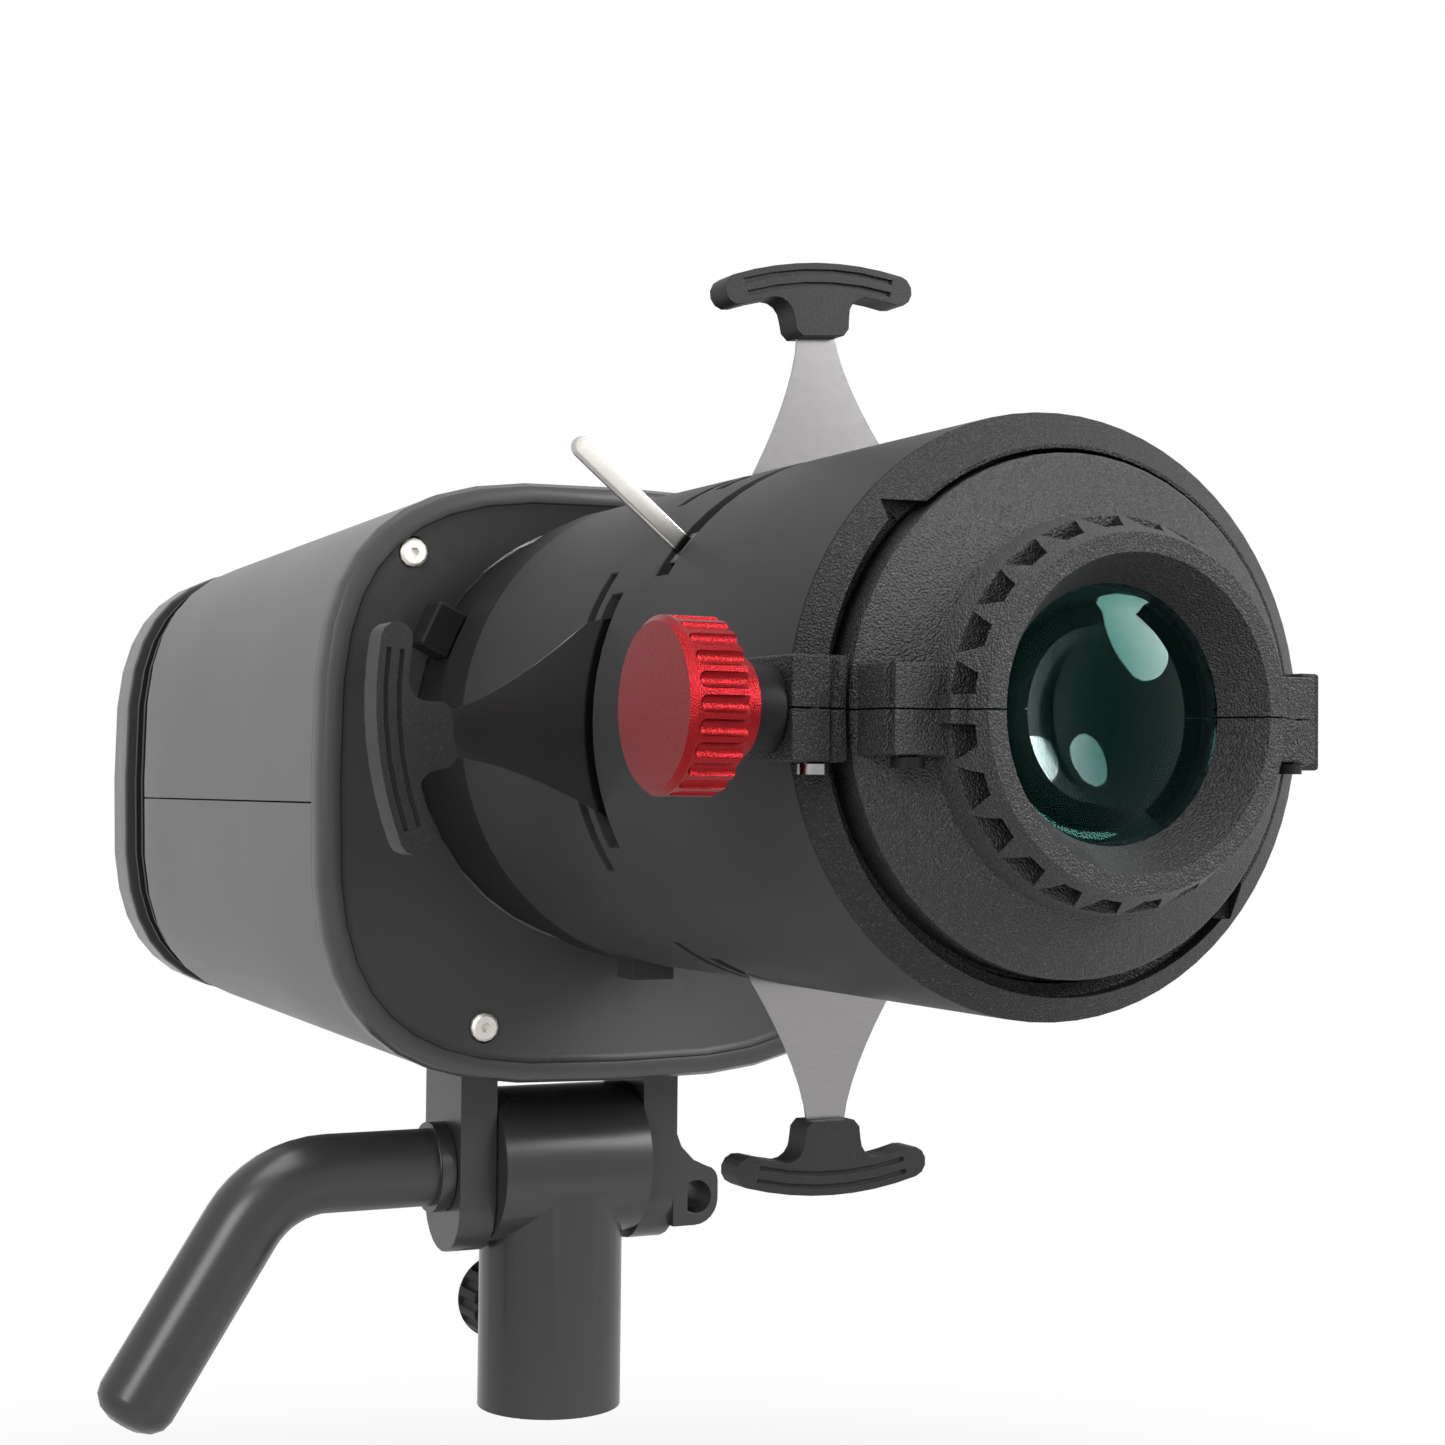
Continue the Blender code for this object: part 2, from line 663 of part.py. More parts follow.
def build_shutter(side, turn, swing, pull, low):
    # Drawn with the pull direction along +X, then swung in its slot and turned to its side.
    hinge = Vector((BARREL_R, 0, 0))
    swung = Matrix.Translation(hinge) @ about_beam(swing) @ Matrix.Translation(-hinge)
    place = about_beam(turn) @ swung @ Matrix.Translation((pull, 0, 0))
    reach = GRIP_FOOT_R + GRIP_SLEEVE
    start = BARREL_R - FLARE_SET
    flare = []
    for i in range(9):
        share = i / 8
        r = start + (GRIP_FOOT_R + 1 - start) * share
        half = BLADE_TIP_HALF + (BLADE_HALF - BLADE_TIP_HALF) * (1 - share) ** FLARE_POWER
        flare.append((r, half))
    plate = [(BLADE_EDGE_R, PLATE_HALF), (PLATE_END_R, PLATE_HALF), (PLATE_NECK_R, BLADE_HALF + EDGE)]
    upper = plate + flare + [(reach, BLADE_TIP_HALF)]
    lower = [(r, -half) for r, half in reversed(upper)]
    middle_y = low + BLADE_T / 2
    pivot = place @ Vector(((BLADE_EDGE_R + reach) / 2, middle_y, 0))
    blade = to_object(moved(prism(upper + lower, low, low + BLADE_T, "Y"), place), side)
    finish(blade, f"shutter_blade_{side}", "blade_steel", pivot)

    deep = GRIP_DEPTH / 2
    grip = to_object(prism(grip_outline(), middle_y - deep, middle_y + deep, "Y"), "grip")
    bow, centre, spread = grip_bow()
    grooves = []
    for offset in (-GRIP_LINE_STEP, GRIP_LINE_STEP):
        for face in (-1, 1):
            span = arc(bow + offset + GRIP_LINE / 2, -spread * 0.9, spread * 0.9, 5, centre)
            span += arc(bow + offset - GRIP_LINE / 2, spread * 0.9, -spread * 0.9, 5, centre)
            y0 = middle_y + face * deep
            grooves.append(prism(span, y0 - GRIP_LINE_DEEP, y0 + GRIP_LINE_DEEP, "Y"))
    cut(grip, merged(*grooves))
    room = BLADE_TIP_HALF + FIT
    gap = BLADE_T / 2 + BLADE_GAP
    cut(grip, block((GRIP_FOOT_R - 4, middle_y - gap, -room), (reach + FIT, middle_y + gap, room)))
    grip.data.transform(place)
    finish(grip, f"shutter_grip_{side}", "rubber", pivot)


def grip_bow():
    # The grip's bar is part of a wide ring: its radius, centre and half spread in degrees.
    bow = (GRIP_HALF ** 2 + GRIP_SAG ** 2) / (2 * GRIP_SAG)
    centre = (GRIP_FOOT_R + GRIP_TALL - bow, 0.0)
    spread = math.degrees(math.asin((GRIP_HALF - GRIP_BAR_T / 2) / bow))
    return bow, centre, spread


def grip_outline():
    bow, centre, spread = grip_bow()
    half_t = GRIP_BAR_T / 2
    t = math.radians(spread)
    tip = (centre[0] + bow * math.cos(t), bow * math.sin(t))
    side = arc(bow + half_t, 0, spread, 4, centre)
    side += arc(half_t, spread, spread + 180, 6, tip)[1:-1]
    # The bar's inner side runs into the neck by a fillet.
    wide = GRIP_NECK_HALF + GRIP_FILLET
    first = math.degrees(math.asin(wide / (bow - half_t)))
    side += arc(bow - half_t, spread, first, 2, centre)
    top = side[-1][0] - GRIP_FILLET
    side += arc(GRIP_FILLET, 0, -90, 4, (top, wide))[1:]
    side += [(GRIP_FOOT_R + 1.4, GRIP_NECK_HALF - 0.3), (GRIP_FOOT_R, GRIP_NECK_HALF - 1.6)]
    return side + [(r, -w) for r, w in reversed(side[1:])]


def build_iris():
    leaf_front = DRIVE_Y + DRIVE_T + LEAF_ROOM
    base_front = leaf_front + IRIS_LEAVES * LEAF_PITCH + FIT
    turns = [360 / IRIS_LEAVES * i + LEAF_START for i in range(IRIS_LEAVES)]
    base = to_object(flat_ring(LEAF_IN_R, BORE_R - FIT, base_front, base_front + IRIS_BASE_T), "base")
    join(base, *posts(PIN_R, leaf_front - FIT, base_front + IRIS_BASE_T / 2, turns, LEAF_PIVOT_R))
    finish(base, "iris_base", "blade_steel")

    ring = to_object(flat_ring(LEAF_IN_R + 2, BORE_R - 2 * FIT, DRIVE_Y, DRIVE_Y + DRIVE_T), "ring")
    slot_w = LEVER_W / 2 + FIT
    root_r = BORE_R - LEVER_ROOT
    notch = block((root_r - FIT, DRIVE_Y - 1, -slot_w), (BORE_R + 3, DRIVE_Y + DRIVE_T + 1, slot_w))
    cut(ring, moved(notch, about_beam(LEVER_TURN)))
    finish(ring, "iris_drive_ring", "blade_steel")

    middle = DRIVE_Y + DRIVE_T / 2
    half = LEVER_W / 2
    tip = arc(half, 90, -90, 8, (LEVER_TIP_R - half, 0.0))
    outline = [(root_r, half)] + tip + [(root_r, -half)]
    lever = to_object(prism(outline, middle - LEVER_T / 2, middle + LEVER_T / 2, "Y"), "lever")
    foot = BORE_R + FIT
    wide = LEVER_TAB_W / 2
    join(lever, block((foot, middle - LEVER_T, -wide), (foot + LEVER_TAB_H, middle + LEVER_T, wide)))
    lever.data.transform(about_beam(LEVER_TURN))
    finish(lever, "iris_lever", "steel", (0, middle, 0))

    tab = PIN_R + PIN_EYE
    for i, turn in enumerate(turns):
        low = leaf_front + i * LEAF_PITCH
        strip = sector(LEAF_IN_R, LEAF_OUT_R, -LEAF_SPAN, 2.0, 12)
        leaf = to_object(prism(strip, low, low + LEAF_T, "Y"), "leaf")
        ear = arc(tab, -90, 90, 8, (LEAF_PIVOT_R, 0.0))
        foot = [(LEAF_OUT_R - 4, tab), (LEAF_OUT_R - 4, -tab)]
        join(leaf, prism(ear + foot, low, low + LEAF_T, "Y"))
        cut(leaf, rod(PIN_R + FIT, low - 1, low + 1, "Y", (LEAF_PIVOT_R, 0.0), 12))
        leaf.data.transform(about_beam(turn))
        pivot = about_beam(turn) @ Vector((LEAF_PIVOT_R, low + LEAF_T / 2, 0))
        finish(leaf, f"iris_leaf_{i + 1}", "dark_plastic", pivot)


def truss_cutters():
    # Triangular pockets, wide at the shoulder and pointed at the ring, leave gussets between them.
    pitch = 360 / TRUSS_CELLS
    tip = RING_Y + RING_BAND
    back = RING_Y + TRUSS_LEN - EDGE
    floor = RING_R - TRUSS_DEPTH
    grow = (TRUSS_R + 3) / floor
    reach = (math.radians(pitch / 2) * TRUSS_R - TRUSS_RIB) * floor / TRUSS_R
    point = TRUSS_RIB / 3
    inner = [(floor, back, -reach), (floor, back, reach), (floor, tip, point), (floor, tip, -point)]
    outer = [(x * grow, y, z * grow) for x, y, z in inner]
    shapes = []
    for i in range(TRUSS_CELLS):
        shapes.append(moved(loft([inner, outer]), about_beam(pitch * (i + 0.5))))
    return merged(*shapes)


def build_lens_tube():
    bore = TUBE_R - TUBE_WALL
    seat = LENS_R + FIT
    lip_y = LENS_EDGE_Y - FIT
    heel = LENS_EDGE_Y + LENS_EDGE_T + FIT
    neck = LENS_R - LENS_LIP
    cell_y = heel + CELL_WALL
    floor_y = cell_y + CELL_WALL
    back_lo = BACK_LENS_Y - FIT
    back_hi = BACK_LENS_Y + BACK_LENS_T + FIT
    groove = bore + LENS_LIP + FIT
    truss_y = RING_Y + TRUSS_LEN
    outline = [
        (RING_HOLE_R, RING_Y), (RING_R, RING_Y), (TRUSS_R, truss_y), (SHOULDER_R, truss_y + SHOULDER_LEN),
        (DISC_R - EDGE, DISC_Y), (DISC_R, DISC_Y + EDGE), (DISC_R, DISC_BACK), (TUBE_R, DISC_BACK),
        (TUBE_R, TUBE_END), (bore, TUBE_END), (bore, back_hi), (groove, back_hi),
        (groove, back_lo), (bore, back_lo), (bore, floor_y), (neck + CELL_WALL, floor_y),
        (neck, cell_y), (neck, heel), (seat, heel), (seat, lip_y), (neck + EDGE, lip_y),
    ]
    tube = to_object(turned(outline, 60), "tube")
    cut(tube, truss_cutters())
    root = DISC_Y + 3 * EDGE
    ears = []
    for sign in (-1, 1):
        ends = sorted((sign * EAR_IN, sign * EAR_OUT))
        ear = to_object(block((ends[0], EAR_FACE_Y, -EAR_HALF), (ends[1], root, EAR_HALF), EDGE), "ear")
        sill = sorted((sign * (EAR_OUT - EAR_STEP), sign * (EAR_OUT + 1)))
        tall = EAR_HALF + 1
        cut(ear, block((sill[0], EAR_FACE_Y - 1, -tall), (sill[1], EAR_FACE_Y + EAR_STEP, tall)))
        arm = sorted((sign * (RING_R - TRUSS_DEPTH - 1), sign * (TRUSS_R + 1.6)))
        front = RING_Y + BRIDGE_SET
        join(ear, block((arm[0], front, -BRIDGE_HALF), (arm[1], root - 2 * EDGE, BRIDGE_HALF)))
        cut(ear, rod(POST_R + FIT, -tall, EAR_HALF - SCREW_LEFT, "Z", ear_screw_place(sign), 16))
        ears.append(shape_of(ear))
    join(tube, merged(*ears))
    big = BARREL_R * 2
    lower = copy_of(tube)
    cut(tube, block((-big, -big, -big), (big, big, THIN)))
    cut(lower, block((-big, -big, -THIN), (big, big, big)))
    finish(tube, "lens_tube_upper", "rim_black", (0, DISC_Y, 0))
    finish(lower, "lens_tube_lower", "rim_black", (0, DISC_Y, 0))

    front = lens(LENS_R, LENS_EDGE_Y, LENS_EDGE_T, LENS_SAG, LENS_BACK_SAG)
    finish(to_object(front, "lens"), "front_lens", "glass", (0, LENS_EDGE_Y, 0))
    rear = lens(groove - FIT, BACK_LENS_Y, BACK_LENS_T, BACK_LENS_SAG, 0)
    finish(to_object(rear, "lens"), "rear_lens", "glass", (0, BACK_LENS_Y, 0))

    for sign, side in ((-1, "left"), (1, "right")):
        screw = screw_up(ear_screw_place(sign), EAR_HALF)
        finish(to_object(screw, "screw"), f"ear_screw_{side}", "dark_plastic", (0, DISC_Y, 0))


def ear_screw_place(sign):
    return (sign * (TRUSS_R + EAR_OUT) / 2, EAR_FACE_Y + EAR_SCREW_SET)


def shape_of(target):
    # Takes an object's mesh back as a shape and removes the object.
    shape = bmesh.new()
    shape.from_mesh(target.data)
    bpy.data.objects.remove(target, do_unlink=True)
    return shape


def screw_up(place, half):
    # A screw from below into a split piece of this half height.
    head = POST_R + SCREW_CAP
    under = -half - FIT
    end = half - SCREW_LEFT - 2 * FIT
    low = under - SCREW_CAP_T
    outline = [(0, low), (head, low), (head, under), (POST_R, under), (POST_R, end), (0, end)]
    return turned(outline, 12, "Z", place)


def build_lock():
    # Two lug halves sit on the rim's cone and on the barrel, split like the lens tube.
    lip_r = BARREL_R - RIM_DROP + FIT
    ahead = LUG_FRONT_Y - 4
    behind = LUG_BACK_Y + 4
    skin = [
        (0, ahead), (lip_r, ahead), (lip_r, -RIM_RISE - FIT / 3), (BARREL_R + FIT, -FIT / 3),
        (BARREL_R + FIT, behind), (0, behind),
    ]
    stud = rod(STUD_R + FIT, -LUG_OUT - 2, -LUG_OUT + STUD_BITE + FIT, "X", (KNOB_AXIS_Y, 0.0), 24)
    screw_at = (-LUG_OUT + LUG_SCREW_SET, LUG_SCREW_Y)
    hole = rod(POST_R + FIT, -LUG_HALF - 1, LUG_HALF - SCREW_LEFT, "Z", screw_at, 16)
    lug = to_object(block((-LUG_OUT, LUG_FRONT_Y, -LUG_HALF), (-LUG_IN, LUG_BACK_Y, LUG_HALF), EDGE), "lug")
    cut(lug, turned(skin, 84), stud, hole)
    cut(lug, rod(RIDGE_R, -LUG_HALF - 1, LUG_HALF + 1, "Z", (-LUG_IN - RIDGE_SET, LUG_FRONT_Y), 12))
    lower = copy_of(lug)
    big = LUG_OUT * 2
    cut(lug, block((-big, -big, -big), (big, big, THIN)))
    cut(lower, block((-big, -big, -THIN), (big, big, big)))
    finish(lug, "rim_lug_upper", "rim_black")
    finish(lower, "rim_lug_lower", "rim_black")
    finish(to_object(screw_up(screw_at, LUG_HALF), "screw"), "lug_screw", "steel")

    axis = (KNOB_AXIS_Y, 0.0)
    back = KNOB_FACE_X + KNOB_LEN
    heel = back + COLLAR_LEN
    hole = STUD_R + FIT
    ends = (heel + FIT, -LUG_OUT - FIT)
    bush = turned([(hole, ends[0]), (STEM_R, ends[0]), (STEM_R, ends[1]), (hole, ends[1])], 32, "X", axis)
    finish(to_object(bush, "bush"), "knob_bush", "dark_plastic", (heel, KNOB_AXIS_Y, 0))
    edge = KNOB_R - KNOB_EDGE
    tip = -LUG_OUT + STUD_BITE
    outline = [
        (0, KNOB_FACE_X), (edge, KNOB_FACE_X), (KNOB_R, KNOB_FACE_X + KNOB_EDGE), (KNOB_R, back - KNOB_EDGE),
        (edge, back), (COLLAR_R, back), (COLLAR_R, heel - EDGE), (COLLAR_R - EDGE, heel),
        (STUD_R, heel), (STUD_R, tip), (0, tip),
    ]
    knob = to_object(turned(outline, 48, "X", axis), "knob")
    grooves = []
    r = KNOB_R + FLUTE_R - FLUTE_DEPTH
    for i in range(KNOB_FLUTES):
        t = math.tau * i / KNOB_FLUTES
        place = (KNOB_AXIS_Y + r * math.cos(t), r * math.sin(t))
        grooves.append(rod(FLUTE_R, KNOB_FACE_X - 1, back + 1, "X", place, 7))
    cut(knob, merged(*grooves))
    finish(knob, "lock_knob", "red_anodised", (KNOB_FACE_X, KNOB_AXIS_Y, 0))


def build_condenser():
    ring_out = BORE_R - FIT
    glass = lens(ring_out, CONDENSER_Y, CONDENSER_T, CONDENSER_SAG, 0)
    finish(to_object(glass, "lens"), "condenser_lens", "glass")
    front = CONDENSER_Y - FIT
    ring = flat_ring(ring_out - CELL_RING, ring_out, front - CELL_T, front)
    finish(to_object(ring, "ring"), "condenser_ring", "dark_plastic")


def screw_places():
    # The four panel screws: half a turn about the head's centre brings the pattern onto itself.
    upper = (HEAD_HALF_W * UPPER_SCREW[0], HEAD_HALF_H * UPPER_SCREW[1])
    lower = (HEAD_HALF_W * LOWER_SCREW[0], HEAD_HALF_H * LOWER_SCREW[1])
    return {
        "upper_left": (-upper[0], HEAD_Z + upper[1]), "upper_right": (lower[0], HEAD_Z + lower[1]),
        "lower_left": (-lower[0], HEAD_Z - lower[1]), "lower_right": (upper[0], HEAD_Z - upper[1]),
    }


def build_head():
    build_front()
    start = HEAD_Y + BEZEL_DEEP + FIT
    middle = (start + SHELL_END) / 2
    loops = [head_loop(y) for y in (start, middle, SHELL_END)]
    loops += [head_loop(y, SHELL_WALL) for y in (SHELL_END, middle, start)]
    upper = to_object(loft(loops, True), "shell")
    lower = copy_of(upper)
    big = HEAD_HALF_W * 3
    cut(upper, block((-big, start - 9, -big), (big, CAP_END, -PARTING_DROP + THIN)))
    cut(lower, block((-big, start - 9, -PARTING_DROP - THIN), (big, CAP_END, big)))
    finish(upper, "shell_upper", "shell_grey")
    finish(lower, "shell_lower", "shell_grey")

    # The dark vent waist between shell and rear cap, with ring fins.
    low = SHELL_END - VENT_LAP
    first = SHELL_END + FIT
    last = VENT_END - FIT
    lap = SHELL_WALL + FIT
    rows = [head_loop(low, lap), head_loop(first, lap), head_loop(first, VENT_INSET)]
    pitch = (last - first) / (VENT_FINS + 1)
    for i in range(VENT_FINS):
        y = first + pitch * (i + 1)
        ahead, behind = y - FIN_T / 2, y + FIN_T / 2
        rows += [head_loop(ahead, VENT_INSET), head_loop(ahead, FIN_SET)]
        rows += [head_loop(behind, FIN_SET), head_loop(behind, VENT_INSET)]
    inner = VENT_INSET + SHELL_WALL
    rows += [head_loop(last, VENT_INSET), head_loop(last, inner), head_loop(low, inner)]
    finish(to_object(loft(rows, True), "vent"), "vent_grille", "dark_plastic")
    build_rear()
    build_engine(start)


def build_front():
    edge = HEAD_Y + BEZEL_DEEP
    w, h = HEAD_HALF_W, HEAD_HALF_H
    band = BEZEL_BAND
    small = BEZEL_ROUND / 3
    loops = [
        squircle(w, h, edge), squircle(w, h, HEAD_Y + BEZEL_ROUND),
        squircle(w - small, h - small, HEAD_Y + small),
        squircle(w - BEZEL_ROUND, h - BEZEL_ROUND, HEAD_Y), squircle(w - band, h - band, HEAD_Y + FIT),
        squircle(w - band, h - band, edge),
    ]
    finish(to_object(loft(loops, True), "bezel"), "front_bezel", "bezel_grey")

    inset = band + FIT
    rim = squircle(w - inset, h - inset, HEAD_Y + 2 * FIT)
    waist = squircle(w - inset - PANEL_LIP, h - inset - PANEL_LIP, HEAD_Y + PANEL_LIP)
    hole = MOUNT_R + FIT
    dish = HEAD_Y + DISH_DEPTH
    low_rim = [(x, edge, z) for x, _, z in rim]
    loops = [rim, waist, ring_loop(waist, hole - 3, dish), ring_loop(waist, hole - 3, edge), low_rim]
    panel = to_object(loft(loops, True), "panel")
    cut(panel, rod(hole, HEAD_Y - 5, edge + 5, "Y", (0.0, 0.0), 60))
    top = HEAD_Y + SCREW_SINK
    seat = top + SCREW_HEAD_T
    seats, shanks = [], []
    for name, place in screw_places().items():
        seats.append(rod(SCREW_HEAD_R + FIT, HEAD_Y - 5, seat + FIT, "Y", place, 16))
        shanks.append(rod(SCREW_R + FIT, HEAD_Y - 5, edge + 5, "Y", place, 12))
        outline = [
            (0, top), (SCREW_HEAD_R - EDGE, top), (SCREW_HEAD_R, top + EDGE), (SCREW_HEAD_R, seat),
            (SCREW_R, seat), (SCREW_R, edge - 1), (0, edge - 1),
        ]
        screw = to_object(turned(outline, 12, "Y", place), name)
        cut(screw, rod(SOCKET_HEX_R, top - 1, top + SCREW_HEAD_T / 2, "Y", place, 6))
        finish(screw, f"panel_screw_{name}", "steel")
    cut(panel, merged(*seats))
    cut(panel, merged(*shanks))
    finish(panel, "front_panel", "panel_grey")


def build_rear():
    steps = ((0.0, 0.0), (0.5, 0.0), (0.8, 0.18), (0.95, 0.53), (1.0, 1.0))
    rows = [head_loop(VENT_END + CAP_LEN * share, CAP_ROUND * inset) for share, inset in steps]
    cap = to_object(loft(rows), "cap")
    pocket = CAP_END - POCKET_DEEP
    dial_at = (DIAL_AT[0], HEAD_Z + DIAL_AT[1])
    cut(cap, rod(DIAL_R + FIT, pocket, CAP_END + 5, "Y", dial_at, 40))
    for (x, z), wide, tall in ((SWITCH_AT, SWITCH_W, SWITCH_H), (INLET_AT, INLET_W, INLET_H)):
        a, b = wide / 2 + FIT, tall / 2 + FIT
        cut(cap, block((x - a, pocket, HEAD_Z + z - b), (x + a, CAP_END + 5, HEAD_Z + z + b)))
    finish(cap, "rear_cap", "bezel_grey")

    end = CAP_END + DIAL_OUT
    outline = [
        (0, pocket + FIT), (DIAL_R, pocket + FIT), (DIAL_R, end - DIAL_EDGE),
        (DIAL_R - DIAL_EDGE, end), (0, end),
    ]
    dial = turned(outline, 40, "Y", dial_at)
    finish(to_object(dial, "dial"), "dimmer_dial", "dark_plastic", (dial_at[0], pocket, dial_at[1]))

    x, z = SWITCH_AT[0], HEAD_Z + SWITCH_AT[1]
    low, high = pocket + SWITCH_FLOOR, CAP_END + SWITCH_OUT
    half = SWITCH_W / 2 - SWITCH_SLACK
    dip = (x, CAP_END - SWITCH_DIP)
    rocker = [(x - half, low), (x - half, high), dip, (x + half, high), (x + half, low)]
    shape = prism(rocker, z - SWITCH_H / 2, z + SWITCH_H / 2, "Z")
    finish(to_object(shape, "rocker"), "power_switch", "dark_plastic", (x, pocket + SWITCH_PIVOT, z))

    x, z = INLET_AT[0], HEAD_Z + INLET_AT[1]
    a, b = INLET_W / 2, INLET_H / 2
    body = to_object(block((x - a, pocket + FIT, z - b), (x + a, CAP_END + 1, z + b)), "inlet")
    a, b = a - INLET_WALL, b - INLET_WALL
    cut(body, block((x - a, pocket + INLET_FLOOR, z - b), (x + a, CAP_END + 5, z + b)))
    a, b = PRONG_W / 2, PRONG_H / 2
    for mid in (x - PRONG_STEP, x, x + PRONG_STEP):
        prong = ((mid - a, pocket + INLET_FLOOR / 2, z - b), (mid + a, CAP_END - PRONG_SET, z + b))
        join(body, block(*prong))
    finish(body, "power_inlet", "dark_plastic")


def build_engine(start):
    # A bulkhead behind the panel carries the light source, and the heat sink carries the fan.
    inset = SHELL_WALL + FIT
    low, high = start, start + BULKHEAD_T
    wall = to_object(loft([head_loop(low, inset), head_loop(high, inset)]), "wall")
    cut(wall, rod(LED_R + FIT, low - 1, high + 1, "Y", (0.0, 0.0), 36))
    finish(wall, "bulkhead", "aluminium")
    top = high + FIT - LED_T
    back = top + LED_T
    outline = [
        (0, top - DOME_H), (DOME_R * 0.6, top - DOME_H * 0.77), (DOME_R, top),
        (LED_R, top), (LED_R, back), (0, back),
    ]
    finish(to_object(turned(outline, 36), "led"), "led_board", "led_yellow")

    base = high + 2 * FIT
    half = SINK_HALF
    sink = to_object(block((-half, base, -half), (half, SINK_END, half)), "sink")
    pitch = 2 * half / SINK_FINS
    gap = pitch * 0.28
    slots = []
    for i in range(SINK_FINS - 1):
        x = -half + pitch * (i + 1)
        slots.append(block((x - gap, base + SINK_BASE, -half - 1), (x + gap, SINK_END + 1, half + 1)))
    cut(sink, merged(*slots))
    finish(sink, "heat_sink", "aluminium")

    first = SINK_END + FIT
    floor = first + FAN_T
    last = floor + FAN_BACK
    hole = FAN_R + FAN_GAP
    frame = to_object(block((-half, first, -half), (half, last, half)), "frame")
    cut(frame, rod(hole, first - 1, floor + 2, "Y", (0.0, 0.0), 24))
    cut(frame, flat_ring(FAN_HUB + 2, hole, floor, last + 3, 24))
    a, far = FAN_ARM / 2, half - 1
    arm = (floor + FAN_BACK * 0.4, floor + FAN_BACK * 0.4 + FAN_ARM_T)
    join(frame, block((-far, arm[0], -a), (far, arm[1], a)), block((-a, arm[0], -far), (a, arm[1], far)))
    join(frame, rod(FAN_PIN_R, floor - FAN_PIN_DEEP, arm[1] - 1, "Y", (0.0, 0.0), 16))
    finish(frame, "fan_frame", "dark_plastic")

    front = first + FAN_BACK / 4
    heel = floor + FAN_BACK / 4
    deep = floor - FAN_PIN_DEEP - FIT
    pin = FAN_PIN_R + FIT
    outline = [(0, front), (FAN_HUB, front), (FAN_HUB, heel), (pin, heel), (pin, deep), (0, deep)]
    rotor = to_object(turned(outline, 28), "rotor")
    thick, wide = FAN_BLADE_T / 2, FAN_BLADE_W / 2
    for i in range(FAN_BLADES):
        blade = block((FAN_HUB - 2, -thick, -wide), (FAN_R, thick, wide))
        blade = moved(blade, Matrix.Rotation(math.radians(FAN_PITCH), 4, "X"))
        blade = moved(blade, Matrix.Translation((0, (front + heel) / 2, 0)))
        join(rotor, moved(blade, about_beam(360 * i / FAN_BLADES)))
    finish(rotor, "fan_rotor", "dark_plastic", (0, first, 0))


def build_bracket():
    axis = (AXLE_Y, -AXLE_DROP)
    half = CHEEK_DEEP / 2
    root = -HEAD_DROP - HEAD_HALF_H + CHEEK_ROOT
    foot = arc(half, 180, 360, 12, (AXLE_Y, -AXLE_DROP - CHEEK_FOOT + half))
    outline = foot + [(AXLE_Y + half, root), (AXLE_Y - half, root)]
    bolt = STUD_BOLT_R + FIT
    for sign, side in ((-1, "left"), (1, "right")):
        ends = sorted((sign * CHEEK_IN, sign * (CHEEK_IN + CHEEK_T)))
        cheek = to_object(prism(outline, ends[0], ends[1], "X"), side)
        if sign > 0:
            add_boss(cheek)
        cut(cheek, loft([head_loop(HEAD_Y - 10, -FIT), head_loop(CAP_END, -FIT)]))
        stop = ends[1] + 1 if sign < 0 else ends[1] - STUD_SET + 2 * FIT
        cut(cheek, rod(bolt, ends[0] - 1, stop, "X", axis, 20))
        finish(cheek, f"yoke_cheek_{side}", "bracket_grey", (0, *axis))

    wide = CHEEK_IN - FIT
    drum = to_object(rod(DRUM_R, -wide, wide, "X", axis, 40), "drum")
    spigot = (0.0, AXLE_Y)
    join(drum, rod(SOCKET_R, -STAND_DROP, -AXLE_DROP - DRUM_R / 5, "Z", spigot, 38))
    cut(drum, rod(SOCKET_BORE, -STAND_DROP - 1, -STAND_DROP + SOCKET_DEEP, "Z", spigot, 30))
    cut(drum, rod(bolt, -wide - 1, wide + 1, "X", axis, 20))
    cut(drum, rod(LOCK_SCREW_R + FIT, AXLE_Y, AXLE_Y + SOCKET_R + 2, "Y", (0.0, LOCK_Z), 14))
    finish(drum, "stand_socket", "bracket_grey")

    tip = CHEEK_IN + CHEEK_T - STUD_SET
    face = -CHEEK_IN - CHEEK_T - FIT
    stud = rod(STUD_BOLT_R, face - STUD_REACH, tip, "X", axis, 20)
    finish(to_object(stud, "stud"), "tilt_stud", "steel", (0, *axis))
    handle = sweep_handle(face, axis)
    collar = rod(HANDLE_R + HANDLE_COLLAR, face - HANDLE_COLLAR_L, face, "X", axis, 24)
    join(handle, collar)
    cut(handle, rod(bolt, face - STUD_REACH - FIT, face + 2, "X", axis, 20))
    finish(handle, "tilt_handle", "bracket_grey", (face, *axis))

    tip = AXLE_Y + SOCKET_BORE + FIT
    low = AXLE_Y + SOCKET_R + LOCK_GAP
    high = low + LOCK_T
    outline = [
        (0, tip), (LOCK_SCREW_R, tip), (LOCK_SCREW_R, low), (LOCK_R - LOCK_EDGE, low),
        (LOCK_R, low + LOCK_EDGE), (LOCK_R, high - LOCK_EDGE), (LOCK_R - LOCK_EDGE, high), (0, high),
    ]
    lock = to_object(turned(outline, 32, "Y", (0.0, LOCK_Z)), "lock")
    finish(lock, "stand_lock_knob", "dark_plastic", (0, low, LOCK_Z))


